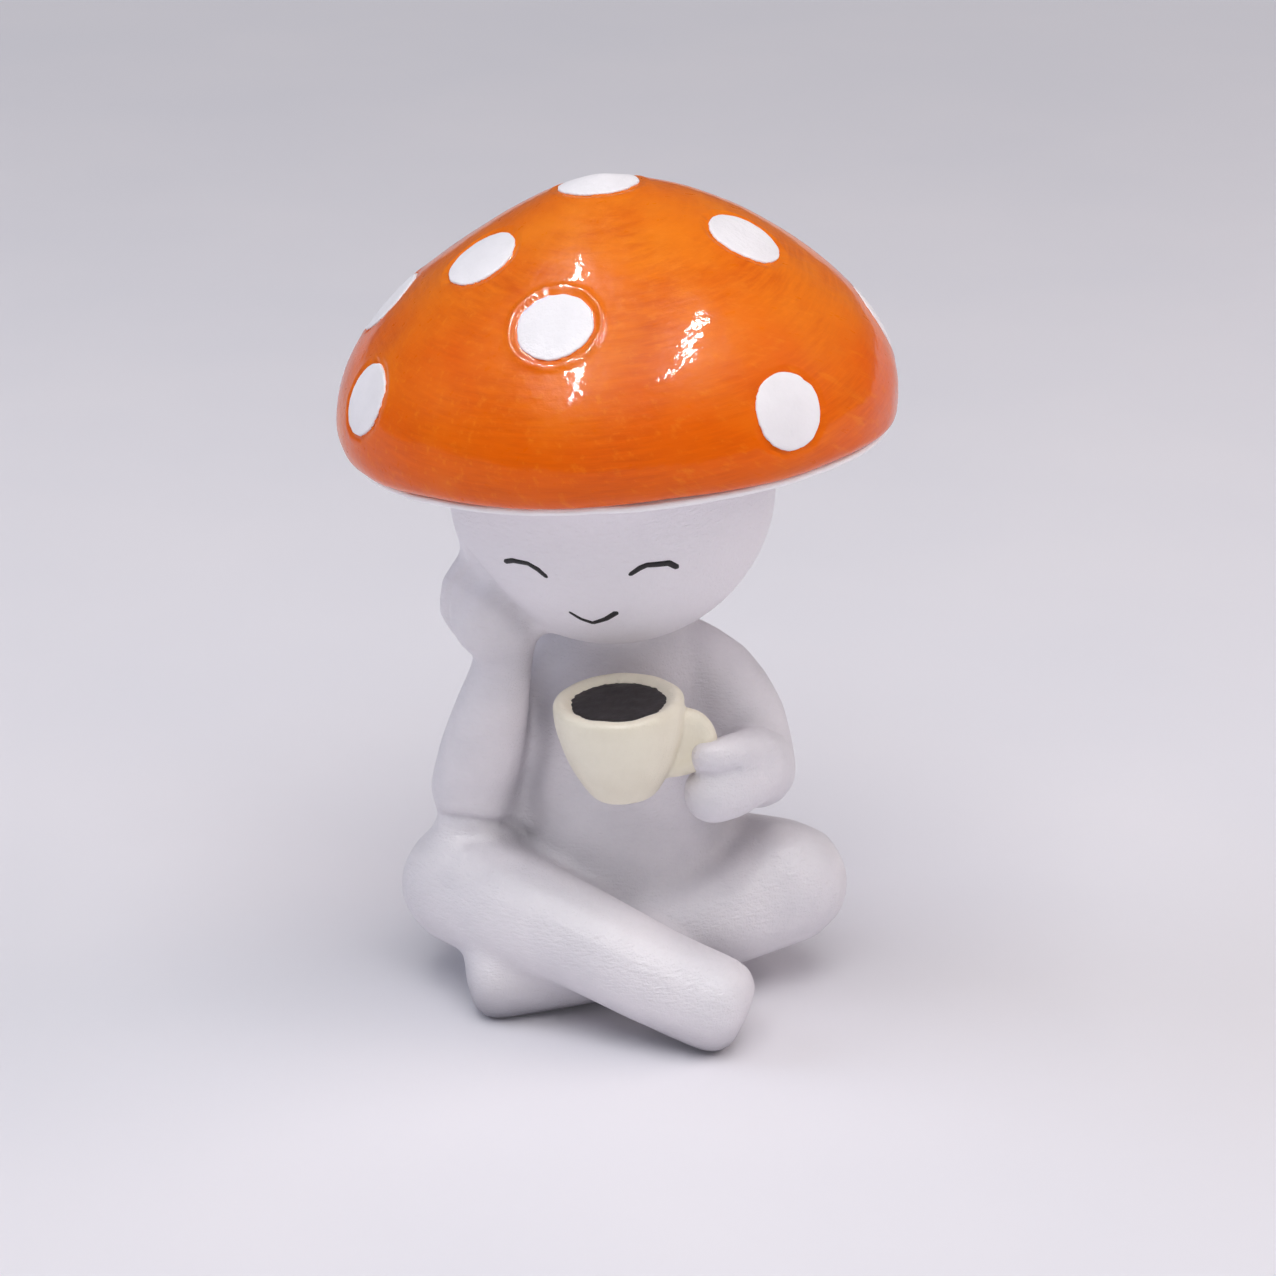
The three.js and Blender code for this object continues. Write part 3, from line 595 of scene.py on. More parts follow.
def swept(points: list[Iterable[float]], radii: list[float], depth: float, order: int,
          steps: tuple[int, int]) -> bpy.types.Mesh:
    """Sweeps a round bar along a line.

    Args:
        points: the points that steer the line.
        radii: the bar's radius at each point, as a share of the depth.
        depth: the radius of the bar.
        order: 2 for straight stretches between the points, 3 for a smooth line.
        steps: how finely the line and its section are cut.

    Returns:
        The bar's mesh, with round caps that aren't merged to it yet.
    """
    curve = bpy.data.curves.new("line", "CURVE")
    curve.dimensions = "3D"
    curve.bevel_depth = depth
    curve.resolution_u, curve.bevel_resolution = steps
    curve.use_fill_caps = True
    spline = curve.splines.new("NURBS")
    spline.points.add(len(points) - 1)
    spline.order_u = order
    spline.use_endpoint_u = True
    for target, place, radius in zip(spline.points, points, radii):
        target.co = (*place, 1)
        target.radius = radius
    holder = placed("line", curve)
    seen = holder.evaluated_get(bpy.context.evaluated_depsgraph_get())
    mesh = bpy.data.meshes.new_from_object(seen)
    bpy.data.objects.remove(holder)
    return mesh


def smooth(bm: bmesh.types.BMesh, times: int) -> None:
    """Moves each point half way to the middle of its neighbours, a number of times."""
    for _ in range(times):
        bmesh.ops.smooth_vert(bm, verts=bm.verts, factor=0.5,
                              use_axis_x=True, use_axis_y=True, use_axis_z=True)


def spin_profile(bm: bmesh.types.BMesh, profile: Iterable[tuple[float, float]], steps: int) -> None:
    """Turns a profile round Z into a closed skin.

    Args:
        bm: the bmesh that gets the skin.
        profile: radius and height of each point, from axis to axis.
        steps: how many steps make the full turn.
    """
    line = [bm.verts.new((radius, 0, height)) for radius, height in profile]
    edges = [bm.edges.new(pair) for pair in zip(line, line[1:])]
    bmesh.ops.spin(bm, geom=[*line, *edges], axis=UP, cent=(0, 0, 0), angle=math.tau, steps=steps,
                   use_merge=True, use_duplicate=False)
    bmesh.ops.remove_doubles(bm, verts=bm.verts, dist=MERGE)
    bmesh.ops.recalc_face_normals(bm, faces=bm.faces)


def finish_piece(name: str, mesh: bpy.types.Mesh, finish: Finish, slot: Slot,
                 *nodes: str) -> bpy.types.Object:
    """Makes a finished piece from a mesh in millimetres.

    Args:
        name: the piece's name.
        mesh: its mesh, in the frame's place but in millimetres.
        finish: its surface.
        slot: the record's slot of its finish. It is not used.
        nodes: the CAD nodes that it stands for.

    Returns:
        The piece, which rides on the ornament's one body.
    """
    mesh.name = name
    mesh.transform(Matrix.Scale(MM, 4))
    mesh.shade_smooth()
    mesh.materials.clear()
    mesh.materials.append(finish.material())
    piece = placed(name, mesh)
    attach(piece, "root")
    if nodes:
        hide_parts(*nodes)
    LOG.info("%s: %d faces, for %s", name, len(mesh.polygons), ", ".join(nodes) or "no node")
    return piece


@dataclass
class Groove:
    """A crease pressed into soft clay.

    Attributes:
        line: the points that it follows, in millimetres.
        depth: how deep it is, in millimetres.
        width: how wide it is, in millimetres.
    """

    line: list[Vector]
    depth: float
    width: float

    def press(self, bm: bmesh.types.BMesh) -> None:
        """Lays the line on the skin and moves the skin's points near it inwards.

        Args:
            bm: the skin.
        """
        skin = BVHTree.FromBMesh(bm)
        line = [skin.find_nearest(point)[0] for point in self.line]
        low = [min(p[i] for p in line) - 2 * self.width for i in range(3)]
        high = [max(p[i] for p in line) + 2 * self.width for i in range(3)]
        for vert in bm.verts:
            if all(low[i] < vert.co[i] < high[i] for i in range(3)):
                away = min(self.distance(vert.co, *pair) for pair in zip(line, line[1:]))
                vert.co -= vert.normal * self.depth * math.exp(-(away / self.width) ** 2)

    @staticmethod
    def distance(point: Vector, start: Vector, end: Vector) -> float:
        """Measures how far a point is from a stretch of line.

        Args:
            point: the point.
            start: where the stretch starts.
            end: where it ends.

        Returns:
            The distance.
        """
        along = end - start
        share = max(0.0, min(1.0, (point - start).dot(along) / along.length_squared))
        return (point - start - along * share).length


@dataclass
class Figure:
    """The seated figure: head, torso, arms and legs.

    Attributes:
        head_radius: half the head's width, in millimetres, as the rest.
        head_half_height: half its height.
        head_taper: how much narrower than an ellipse it is near the chin, as a share.
        head_lean: how far it leans back and to the figure's right, in degrees.
        seat_gap: how far the castings swell to close the glue gaps.
        grid: the distance between the skin's points.
        softening: how many times the skin is smoothed, which rounds the creases to about 1 mm.
        wall: how thick each finished shell is.
        shelter_reach: how near other skin or the table has to be to count, for the painted shade.
        tucked_foot: the middle of the left foot, which is tucked in below the right leg.
        tucked_reach: how far from there painted shadow of the right leg is added.
        tucked_shade: how much painted shadow is added in its middle, from 0 to 1.
        shade_spread: how many times the painted shade is spread to the neighbouring points.
        head_light_spread: how many times the edge of the head's painted light is softened.
        sole_sink: how far the lowest skin sinks into the table, so that it is cut flat.
        sole_height: the height below which it sinks.
        fillings: middle and radius of the balls that fill the fist, the elbow's foot and the thigh's top.
        skin: the finished skin, for what is laid on it later.
    """

    head_radius: float = 18.5
    head_half_height: float = 17.4
    head_taper: float = 0.035
    head_lean: tuple[float, float] = (3.0, 4.4)
    seat_gap: float = 0.45
    grid: float = 0.36
    softening: int = 45
    wall: float = 0.5
    shelter_reach: float = 11.0
    tucked_foot: tuple[float, float, float] = (-14.0, -11.0, 2.0)
    tucked_reach: float = 9.5
    tucked_shade: float = 0.35
    shade_spread: int = 14
    head_light_spread: int = 6
    sole_sink: float = 0.5
    sole_height: float = 3.0
    fillings: tuple[tuple[tuple[float, float, float], float], ...] = (
        ((11.6, -14.6, 34.2), 2.3), ((10.1, -14.7, 34.5), 2.1),
        ((11.0, -14.6, 32.2), 2.5), ((10.1, -14.6, 30.5), 2.7),
        ((-16.1, 0.3, 22.9), 4.4), ((-11.8, 2.0, 19.6), 3.4),
        ((-17.9, 0.6, 17.3), 4.3), ((-15.4, 0.0, 17.8), 3.8),
    )
    skin: BVHTree | None = field(default=None, init=False)

    def head_ball(self) -> bmesh.types.BMesh:
        """Builds the head's plain form, without the grooves that the casting has for the face lines.

        Returns:
            The head, in its place.
        """
        bm = bmesh.new()
        rings = 48
        profile = []
        for i in range(rings + 1):
            angle = math.pi * i / rings
            radius = self.head_radius * math.sin(angle) * (1 - self.head_taper * math.cos(angle))
            profile.append((radius, -self.head_half_height * math.cos(angle)))
        spin_profile(bm, profile, 2 * rings)
        bmesh.ops.transform(bm, matrix=self.head_place(), verts=bm.verts)
        return bm

    def head_place(self) -> Matrix:
        """Finds where the head is and how it leans.

        Returns:
            The place, with its origin in the head's middle.
        """
        back, right = (math.radians(a) for a in self.head_lean)
        turn = Matrix.Rotation(-back, 4, "X") @ Matrix.Rotation(-right, 4, "Y")
        return Matrix.Translation(middle_of(Casting.HEAD.value)) @ turn

    def joined_skin(self) -> bpy.types.Mesh:
        """Swells the castings until they meet and joins them.

        Returns:
            One soft skin over all of them.
        """
        whole = bmesh.new()
        for casting in Casting:
            bm = self.head_ball() if casting is Casting.HEAD else copy_of(casting.value)
            bm.normal_update()
            for vert in bm.verts:
                vert.co += vert.normal * self.seat_gap
            whole.from_mesh(mesh_of(bm))
        for middle, radius in self.fillings:
            place = Matrix.Translation(middle)
            bmesh.ops.create_icosphere(whole, subdivisions=3, radius=radius + self.seat_gap, matrix=place)
        return with_modifiers(
            mesh_of(whole),
            ("REMESH", {"mode": "VOXEL", "voxel_size": self.grid}),
            ("SMOOTH", {"factor": 0.5, "iterations": self.softening}),
        )

    def creases(self) -> list[Groove]:
        """Sets out the creases, as points near the skin.

        Returns:
            The creases at the forefinger, the open hand, the cheek, the elbow's foot and the left wrist.
        """
        forefinger = [(8.6, -14.6, 32.5), (9.0, -16.2, 33.0), (9.72, -17.23, 33.56), (10.83, -17.44, 33.53),
                      (12.17, -17.43, 33.65), (13.51, -17.15, 33.88)]
        open_hand = [(-15.98, -7.95, 55.22), (-17.08, -6.8, 53.58), (-18.2, -6.9, 52.78),
                     (-18.83, -7.08, 51.89), (-19.06, -7.49, 50.6), (-19.02, -7.7, 48.87),
                     (-18.54, -6.95, 46.75), (-17.8, -6.6, 45.2), (-17.04, -6.21, 43.77)]
        cheek = [(-16.43, -7.69, 55.96), (-15.26, -9.17, 55.09), (-13.91, -10.08, 53.65),
                 (-12.46, -10.75, 52.12), (-11.04, -10.73, 50.56), (-9.51, -10.08, 48.73)]
        elbow = [(-21.2, -1.6, 21.0), (-18.97, -2.71, 21.5), (-16.96, -3.34, 21.8), (-15.13, -2.7, 21.43),
                 (-13.51, -0.6, 20.4), (-11.99, 0.29, 19.0), (-10.54, -1.31, 18.6)]
        wrist = [(11.69, -3.34, 32.38), (13.49, -4.3, 33.68), (15.21, -4.57, 34.17), (16.92, -4.72, 33.99),
                 (18.45, -4.01, 33.05)]
        return [Groove([Vector(p) for p in line], depth, width) for line, depth, width in (
            (forefinger, 0.45, 0.45), (open_hand, 0.35, 0.45), (cheek, 0.6, 0.7),
            (elbow, 0.75, 0.45), (wrist, 0.5, 0.45),
        )]

    @staticmethod
    def outside_only(bm: bmesh.types.BMesh) -> None:
        """Deletes every island but the largest: the others are hollows where castings meet.

        Args:
            bm: the skin.
        """
        left = set(bm.verts)
        islands = []
        while left:
            island = {left.pop()}
            edge = list(island)
            while edge:
                near = {e.other_vert(v) for v in edge for e in v.link_edges} - island
                island |= near
                edge = list(near)
            left -= island
            islands.append(island)
        islands.sort(key=len)
        for island in islands[:-1]:
            bmesh.ops.delete(bm, geom=list(island), context="VERTS")

    def stand_flat(self, bm: bmesh.types.BMesh) -> None:
        """Sinks the soles and the seat a little, cuts the skin at the floor and closes it there.

        Args:
            bm: the skin.
        """
        for vert in bm.verts:
            vert.co.z -= self.sole_sink * max(0.0, 1 - vert.co.z / self.sole_height)
        geometry = [*bm.verts, *bm.edges, *bm.faces]
        bmesh.ops.bisect_plane(bm, geom=geometry, dist=MERGE, plane_co=(0, 0, 0), plane_no=-UP,
                               clear_outer=True)
        rim = [e for e in bm.edges if e.is_boundary]
        bmesh.ops.triangle_fill(bm, edges=rim, use_beauty=True, normal=-UP)

    def note_shelter(self, bm: bmesh.types.BMesh) -> None:
        """Writes down how near other skin or the table is to each point, from 0 to 1, for the painted shade.

        Args:
            bm: the skin.
        """
        rays = []
        for tilt, count in ((20, 4), (45, 6), (68, 7)):
            for i in range(count):
                turn = Matrix.Rotation(math.tau * i / count + tilt, 3, "Z")
                rays.append(turn @ Vector((math.sin(math.radians(tilt)), 0, math.cos(math.radians(tilt)))))
        layer = bm.verts.layers.float.new("shelter")
        for vert in bm.verts:
            stand = UP.rotation_difference(vert.normal)
            start = vert.co + vert.normal * 0.3
            hidden = 0.0
            for ray in rays:
                look = stand @ ray
                away = self.skin.ray_cast(start, look, self.shelter_reach)[3] or self.shelter_reach
                if look.z < 0:
                    away = min(away, -start.z / look.z)
                hidden += 1 - max(0.0, away) / self.shelter_reach
            # Painted shadow: more grey round the tucked left foot, which lies in the right leg's shade.
            below = max(0.0, 1 - (vert.co - Vector(self.tucked_foot)).length / self.tucked_reach)
            vert[layer] = min(1.0, hidden / len(rays) + self.tucked_shade * below)
        self.soften(bm, layer, self.shade_spread)

    @staticmethod
    def soften(bm: bmesh.types.BMesh, layer: bmesh.types.BMLayerItem, times: int) -> None:
        """Averages a value of the skin's points with their neighbours', a number of times.

        Args:
            bm: the skin.
            layer: the value's layer.
            times: how many times.
        """
        for _ in range(times):
            means = [sum(e.other_vert(v)[layer] for e in v.link_edges) / len(v.link_edges) for v in bm.verts]
            for vert, mean in zip(bm.verts, means):
                vert[layer] = mean

    def note_owner(self, bm: bmesh.types.BMesh) -> None:
        """Writes down which casting each face belongs to, and where the head's painted light goes.

        Args:
            bm: the skin.
        """
        trees = []
        for casting in Casting:
            copy = copy_of(casting.value)
            trees.append(BVHTree.FromBMesh(copy))
            copy.free()
        owner = bm.faces.layers.int.new("casting")
        for face in bm.faces:
            centre = face.calc_center_median()
            near = [tree.find_nearest(centre)[3] for tree in trees]
            face[owner] = near.index(min(near))
        # Painted light: the head's faces get the lighter white, softened at its edge.
        twice = bm.verts.layers.float.new("painted_head_light")
        head = list(Casting).index(Casting.HEAD)
        for vert in bm.verts:
            vert[twice] = sum(face[owner] == head for face in vert.link_faces) / len(vert.link_faces)
        self.soften(bm, twice, self.head_light_spread)

    def build(self) -> None:
        """Builds the skin, cuts it into its castings and dresses them."""
        bm = bmesh_of(self.joined_skin())
        self.outside_only(bm)
        bm.normal_update()
        for vert in bm.verts:
            vert.co -= vert.normal * self.seat_gap
        bm.normal_update()
        smooth(bm, 1)
        for groove in self.creases():
            groove.press(bm)
        smooth(bm, 2)
        self.stand_flat(bm)
        bm.normal_update()
        self.skin = BVHTree.FromBMesh(bm)
        self.note_shelter(bm)
        normal = bm.verts.layers.float_vector.new("skin_normal")
        for vert in bm.verts:
            vert[normal] = vert.normal
        self.note_owner(bm)
        joined = mesh_of(bm)
        for index, casting in enumerate(Casting):
            self.cut_casting(joined, index, casting)
        bpy.data.meshes.remove(joined)

    def cut_casting(self, joined: bpy.types.Mesh, index: int, casting: Casting) -> None:
        """Makes one casting's shell from its share of the skin.

        Args:
            joined: the whole skin.
            index: the casting's number in the skin's face layer.
            casting: the casting.
        """
        bm = bmesh_of(joined)
        owner = bm.faces.layers.int["casting"]
        others = [face for face in bm.faces if face[owner] != index]
        bmesh.ops.delete(bm, geom=others, context="FACES")
        outside = len(bm.faces)
        bmesh.ops.solidify(bm, geom=bm.faces, thickness=self.wall)
        LOG.info("%s: %d outside faces of %d", casting.value, outside, len(bm.faces))
        mesh = mesh_of(bm)
        mesh.shade_smooth()
        stored = mesh.attributes["skin_normal"].data
        normals = [(0.0, 0.0, 0.0)] * len(mesh.loops)
        for polygon in mesh.polygons:
            for loop in polygon.loop_indices:
                held = Vector(stored[mesh.loops[loop].vertex_index].vector)
                if polygon.normal.dot(held) > 0.5:
                    normals[loop] = held[:]
        mesh.normals_split_custom_set(normals)
        for name in ("skin_normal", "casting"):
            mesh.attributes.remove(mesh.attributes[name])
        finish_piece(casting.value + "_shell", mesh, FIGURE_PAINT, Slot.FIGURE, casting.value)


@dataclass
class FaceLines:
    """The closed eyes and the smile, three strokes of a fine brush.

    Attributes:
        figure: the figure whose skin carries them.
        turn: how far the face looks to the figure's right, in degrees.
        thickness: the width of a stroke, in millimetres.
        flatness: how high a stroke stands against its width.
        tip: the thickness of a stroke's ends, as a share.
        aside: how far the strokes are moved to the figure's left, in millimetres.
        up: how far they are moved up.
    """

    figure: Figure
    turn: float = 8.0
    thickness: float = 0.65
    flatness: float = 0.35
    tip: float = 0.35
    aside: float = 0.1
    up: float = 0.12

    def strokes(self) -> dict[str, list[tuple[float, float, float]]]:
        """Sets out the strokes, as seen from the front of the head.

        Returns:
            Each stroke's points: x, z and its share of the thickness.
        """
        return {
            "right_eye_line": [
                (-10.11, -3.43, 0.95), (-9.19, -3.13, 1.0), (-7.36, -3.22, 0.85), (-6.25, -3.85, 1.0),
                (-5.42, -4.66, 0.85),
            ],
            "left_eye_line": [
                (4.06, -4.59, 0.85), (5.09, -3.96, 1.05), (5.85, -3.70, 1.0), (7.20, -3.82, 1.1),
                (8.13, -3.88, 1.15), (8.88, -4.57, 1.05),
            ],
            "smile_line": [
                (-3.38, -9.68, 0.6), (-2.41, -10.58, 0.8), (-1.18, -11.22, 0.95), (0.42, -10.6, 1.15),
                (1.69, -9.74, 1.25),
            ],
        }

    def build(self) -> None:
        """Builds and dresses the strokes."""
        for name, points in self.strokes().items():
            mesh = self.stroke(points)
            finish_piece(name + "_stroke", mesh, LinePaint(), Slot.FACE, name)

    def stroke(self, points: list[tuple[float, float, float]]) -> bpy.types.Mesh:
        """Lays one stroke of paint on the face.

        Args:
            points: its points, as in strokes().

        Returns:
            Its mesh, a flattened bead with round ends.
        """
        place = self.figure.head_place() @ Matrix.Rotation(-math.radians(self.turn), 4, "Z")
        look = (place.to_3x3() @ Vector((0, 1, 0))).normalized()
        ends = [(*points[0][:2], self.tip), *points, (*points[-1][:2], self.tip)]
        line = []
        for x, z, _ in ends:
            start = place @ Vector((x + self.aside, -2 * self.figure.head_radius, z + self.up))
            line.append(self.figure.skin.ray_cast(start, look)[0])
        self.lengthen(line)
        bm = bmesh_of(swept(line, [share * self.thickness / 2 for _, _, share in ends], 1.0, 2, (8, 3)))
        bmesh.ops.remove_doubles(bm, verts=bm.verts, dist=MERGE)
        for vert in bm.verts:
            near, normal, _, _ = self.figure.skin.find_nearest(vert.co)
            height = (vert.co - near).dot(normal)
            vert.co -= normal * height * (1 - self.flatness)
        bmesh.ops.recalc_face_normals(bm, faces=bm.faces)
        return mesh_of(bm)

    def lengthen(self, line: list[Vector]) -> None:
        """Moves the two outer points out along the stroke, so that it ends in a round point."""
        for outer, end, before in ((0, line[1], line[2]), (-1, line[-2], line[-3])):
            line[outer] = end + (end - before).normalized() * self.thickness * 0.4


@dataclass
class SpotSeat:
    """Where a spot sits on the cap.

    Attributes:
        node: the spot's CAD node.
        middle: its middle on the cap's surface.
        normal: the cap's normal there.
        radius: the spot's radius.
        seed: what its hand-cut outline is worked out from.
    """

    node: str
    middle: Vector
    normal: Vector
    radius: float
    seed: int

    def outline(self, direction: Vector) -> float:
        """Works out the spot's hand-cut outline.

        Args:
            direction: the direction from its middle, of length 1.

        Returns:
            The share of the radius at which the outline lies.
        """
        slow = noise.noise(direction * 1.1 + Vector((self.seed * 7.3, 0, 0)))
        quick = noise.noise(direction * 4.5 + Vector((0, self.seed * 3.1, 0)))
        nicks = noise.noise(direction * 13 + Vector((self.seed, self.seed, 0)))
        return 1 + 0.04 * slow + 0.025 * quick + 0.012 * nicks


@dataclass
class MushroomCap:
    """The cap with its white spots and the white plate below it.

    Attributes:
        figure: the figure that wears it.
        radius: at the widest ring, in millimetres, as the rest.
        rise: from the widest ring up to the crown.
        power_across: shapes the section, 1 for an ellipse.
        power_up: shapes the section, 1 for an ellipse.
        lopsided: taken off the first power on the figure's left and added on its right.
        aside: how far the cap's axis is from the head's.
        above_head: from the head's centre up to the rim's edge.
        wall: how thick the shell is.
        boss: radius of the boss that seats on the head's crown.
        rim_drop: from the widest ring down to the rim's edge.
        rim_tuck: how far the rim's edge lies inside the widest ring.
        moat: depth of the groove round each spot.
        lip: height of the ridge outside that groove.
        front_lip: height of the ridge round the spot at the front, where the clay was pushed up most.
        groove_place: middle and width of the groove's section, from the spot's edge.
        lip_place: middle and width of the ridge's section, from the spot's edge.
        seat_depth: how deep the paint's seat lies below the orange.
        top_spot: how much of its seat the spot at the crown covers, as a share of the radius.
        top_spot_moved: how far it lies from the middle of its seat.
        proud: how far a spot's paint stands out.
        plate_lip: thickness of the plate's flange.
        plate_proud: how far the painted flange stands out past the rim's edge.
        plate_dish: how far the plate rises towards the head.
        fuller: how much less the rim's edge is tucked in on the figure's left.
        dome_rings: rings of points from the crown to the widest ring.
        steps: points round the cap.
    """

    figure: Figure
    radius: float = 31.6
    rise: float = 25.8
    power_across: float = 1.47
    power_up: float = 1.07
    lopsided: float = 0.08
    aside: float = 1.3
    above_head: float = 6.9
    wall: float = 3.6
    boss: float = 7.0
    rim_drop: float = 3.5
    rim_tuck: float = 2.4
    moat: float = 0.3
    lip: float = 0.05
    front_lip: float = 0.32
    groove_place: tuple[float, float] = (0.22, 0.22)
    lip_place: tuple[float, float] = (0.85, 0.3)
    seat_depth: float = 0.25
    top_spot: float = 0.87
    top_spot_moved: tuple[float, float, float] = (0.2, -0.8, 0)
    proud: float = 0.06
    plate_lip: float = 0.8
    plate_proud: float = 0.25
    plate_dish: float = 1.4
    fuller: float = 1.1
    dome_rings: int = 110
    steps: int = 400

    def place(self) -> Matrix:
        """Returns where the cap is: its origin is the middle of its widest ring."""
        return self.figure.head_place() @ Matrix.Translation((self.aside, 0, self.above_head + self.rim_drop))

    def section(self) -> list[tuple[float, float]]:
        """Works out the shell's section: over the dome, round the rim, and back inside to the boss.

        Returns:
            Radius and height of its points, from axis to axis.
        """
        dome = []
        for i in range(self.dome_rings + 1):
            turn = i / self.dome_rings * math.pi / 2
            cosine = max(0.0, math.cos(turn))
            dome.append((self.radius * math.sin(turn) ** self.power_across,
                         self.rise * cosine ** self.power_up))
        rim = []
        for i in range(1, 11):
            turn = i / 10 * math.pi / 2
            rim.append((self.radius - self.rim_tuck * (1 - math.cos(turn)), -self.rim_drop * math.sin(turn)))
        inside = []
        for radius, height in dome[-20:self.dome_rings // 3:-10]:
            inside.append(((radius - self.wall) * 0.985, height - self.wall * 0.6))
        crown = self.figure.head_half_height - self.above_head - self.rim_drop + 0.3
        edge = self.radius - self.wall
        return [*dome, *rim, (edge, -self.rim_drop), (edge, 0.0), *inside,
                (self.boss, self.rise - 2 * self.wall), (self.boss, crown), (0.0, crown)]

    def fill_side(self, point: Vector) -> None:
        """Moves a point of the rim or the plate out on the figure's left, most at the edge.

        Args:
            point: the point, which is moved in place.
        """
        across = math.hypot(point.x, point.y)
        edge = max(0.0, (across - self.radius + self.wall + 2.5) / (self.wall + 0.1))
        share = min(1.0, edge) * min(1.0, max(0.0, -point.z / self.rim_drop))
        room = max(0.0, self.radius - across) * 0.75
        point.x += min(room, self.fuller * share * max(0.0, point.x / max(across, 1)) ** 2)

    def warp(self, bm: bmesh.types.BMesh) -> None:
        """Makes the dome lopsided and gives it the slight lumps of a hand-made model.

        Args:
            bm: the shell, before it is put in its place.
        """
        for vert in bm.verts:
            x, y, z = vert.co
            across = math.hypot(x, y)
            if 0.01 < across < self.radius and z > 0:
                compass_sine = x / across
                share = (across / self.radius) ** (-self.lopsided * compass_sine / self.power_across)
                vert.co.x, vert.co.y = x * share, y * share
            self.fill_side(vert.co)
        bm.normal_update()
        for vert in bm.verts:
            lumps = 0.3 * noise.noise(vert.co / 15) + 0.1 * noise.noise(vert.co / 5 + Vector((9, 0, 0)))
            vert.co += vert.normal * (lumps - 0.1)

    def seats(self, surface: BVHTree) -> list[SpotSeat]:
        """Finds each spot's seat from its CAD node.

        Args:
            surface: the cap's surface before its moats are pressed.

        Returns:
            The seats, in the order of the nodes' names.
        """
        found = []
        for number, node in enumerate(sorted(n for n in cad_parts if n.startswith("cap_spot_"))):
            bm = copy_of(node)
            mean = sum((v.co for v in bm.verts), Vector()) / len(bm.verts)
            top, bottom = self.ends(bm, surface, mean)
            middle = surface.find_nearest(top)[0]
            axis = (top - bottom).normalized()
            reach = max(((v.co - middle) - axis * (v.co - middle).dot(axis)).length for v in bm.verts)
            if node == "cap_spot_01":
                reach *= self.top_spot
                middle = surface.find_nearest(middle + Vector(self.top_spot_moved))[0]
            bm.free()
            found.append(SpotSeat(node, middle, axis, reach, number))
        return found

    @staticmethod
    def ends(bm: bmesh.types.BMesh, surface: BVHTree, mean: Vector) -> tuple[Vector, Vector]:
        """Finds the middles of a spot's outer and inner face, of which the inner one is flat.

        Args:
            bm: the spot's casting.
            surface: the cap's surface.
            mean: the mean of the spot's points.

        Returns:
            The outer and the inner middle.
        """
        _, outward, _, _ = surface.find_nearest(mean)
        flat = min(bm.faces, key=lambda face: face.normal.dot(outward) + face.calc_area() * 1e-3)
        axis = -flat.normal
        lowest = min(v.co.dot(axis) for v in bm.verts)
        base = [v.co for v in bm.verts if v.co.dot(axis) < lowest + 0.05]
        bottom = sum(base, Vector()) / len(base)
        return surface.ray_cast(bottom, axis)[0] or mean, bottom

    def press_moats(self, bm: bmesh.types.BMesh, seats: list[SpotSeat]) -> None:
        """Presses a moat with a raised lip round each spot, and lowers the paint's seat inside it.

        Args:
            bm: the cap's shell.
            seats: the spots' seats.
        """
        bm.normal_update()
        groove_middle, groove_width = self.groove_place
        lip_middle, lip_width = self.lip_place
        for seat in seats:
            lip = self.front_lip if seat.node == "cap_spot_03" else self.lip
            for vert in bm.verts:
                gap = vert.co - seat.middle
                if gap.length > seat.radius + 4:
                    continue
                flat = gap - seat.normal * gap.dot(seat.normal)
                if gap.dot(seat.normal) < -3 or not flat.length:
                    continue
                beyond = flat.length - seat.radius * seat.outline(flat.normalized())
                drop = self.moat * math.exp(-((beyond - groove_middle) / groove_width) ** 2)
                uneven = 1 + 0.9 * noise.noise(flat.normalized() * 2.3 + Vector((seat.seed * 1.7, 0, 0)))
                ridge = lip * uneven * math.exp(-((beyond - lip_middle) / lip_width) ** 2)
                seat_drop = self.seat_depth / (1 + math.exp((beyond + 0.2) / 0.06))
                vert.co += vert.normal * (ridge - max(drop, seat_drop))

    def build(self) -> None:
        """Builds and dresses the cap, its spots and its plate."""
        bm = bmesh.new()
        spin_profile(bm, self.section(), self.steps)
        self.warp(bm)
        bmesh.ops.transform(bm, matrix=self.place(), verts=bm.verts)
        surface = BVHTree.FromBMesh(bm)
        seats = self.seats(surface)
        self.press_moats(bm, seats)
        finish_piece("cap_shell", mesh_of(bm), VarnishedOrange(), Slot.CAP, "cap")
        for seat in seats:
            finish_piece(seat.node + "_paint", self.spot(seat, surface), SPOT_PAINT, Slot.SPOT, seat.node)
        finish_piece("cap_underside_plate", self.plate(), PLATE_PAINT, Slot.FIGURE, "cap_underside")

    def spot(self, seat: SpotSeat, surface: BVHTree) -> bpy.types.Mesh:
        """Lays a spot of thick white paint on the cap.

        Args:
            seat: where it sits.
            surface: the cap's surface before its moats were pressed.

        Returns:
            Its mesh.
        """
        bm = bmesh.new()
        rings = (0, 0.12, 0.25, 0.38, 0.5, 0.62, 0.74, 0.84, 0.91)
        top = [(share * seat.radius, self.proud) for share in rings]
        edge = [(0.955 * seat.radius, self.proud * 0.85), (0.985 * seat.radius, self.proud * 0.4),
                (seat.radius, -0.12), (0.98 * seat.radius, -0.3), (0.5 * seat.radius, -0.5), (0, -0.5)]
        spin_profile(bm, top + edge, 72)
        turn = UP.rotation_difference(seat.normal).to_matrix()
        for vert in bm.verts:
            across = turn @ Vector((vert.co.x, vert.co.y, 0))
            if across.length:
                across *= seat.outline(across.normalized())
            height = vert.co.z + 0.03 * noise.noise(across / 1.5 + Vector((seat.seed, 0, 0)))
            hit, normal, _, _ = surface.ray_cast(seat.middle + across + seat.normal * 6, -seat.normal)
            vert.co = hit + normal * height
        bmesh.ops.recalc_face_normals(bm, faces=bm.faces)
        return mesh_of(bm)

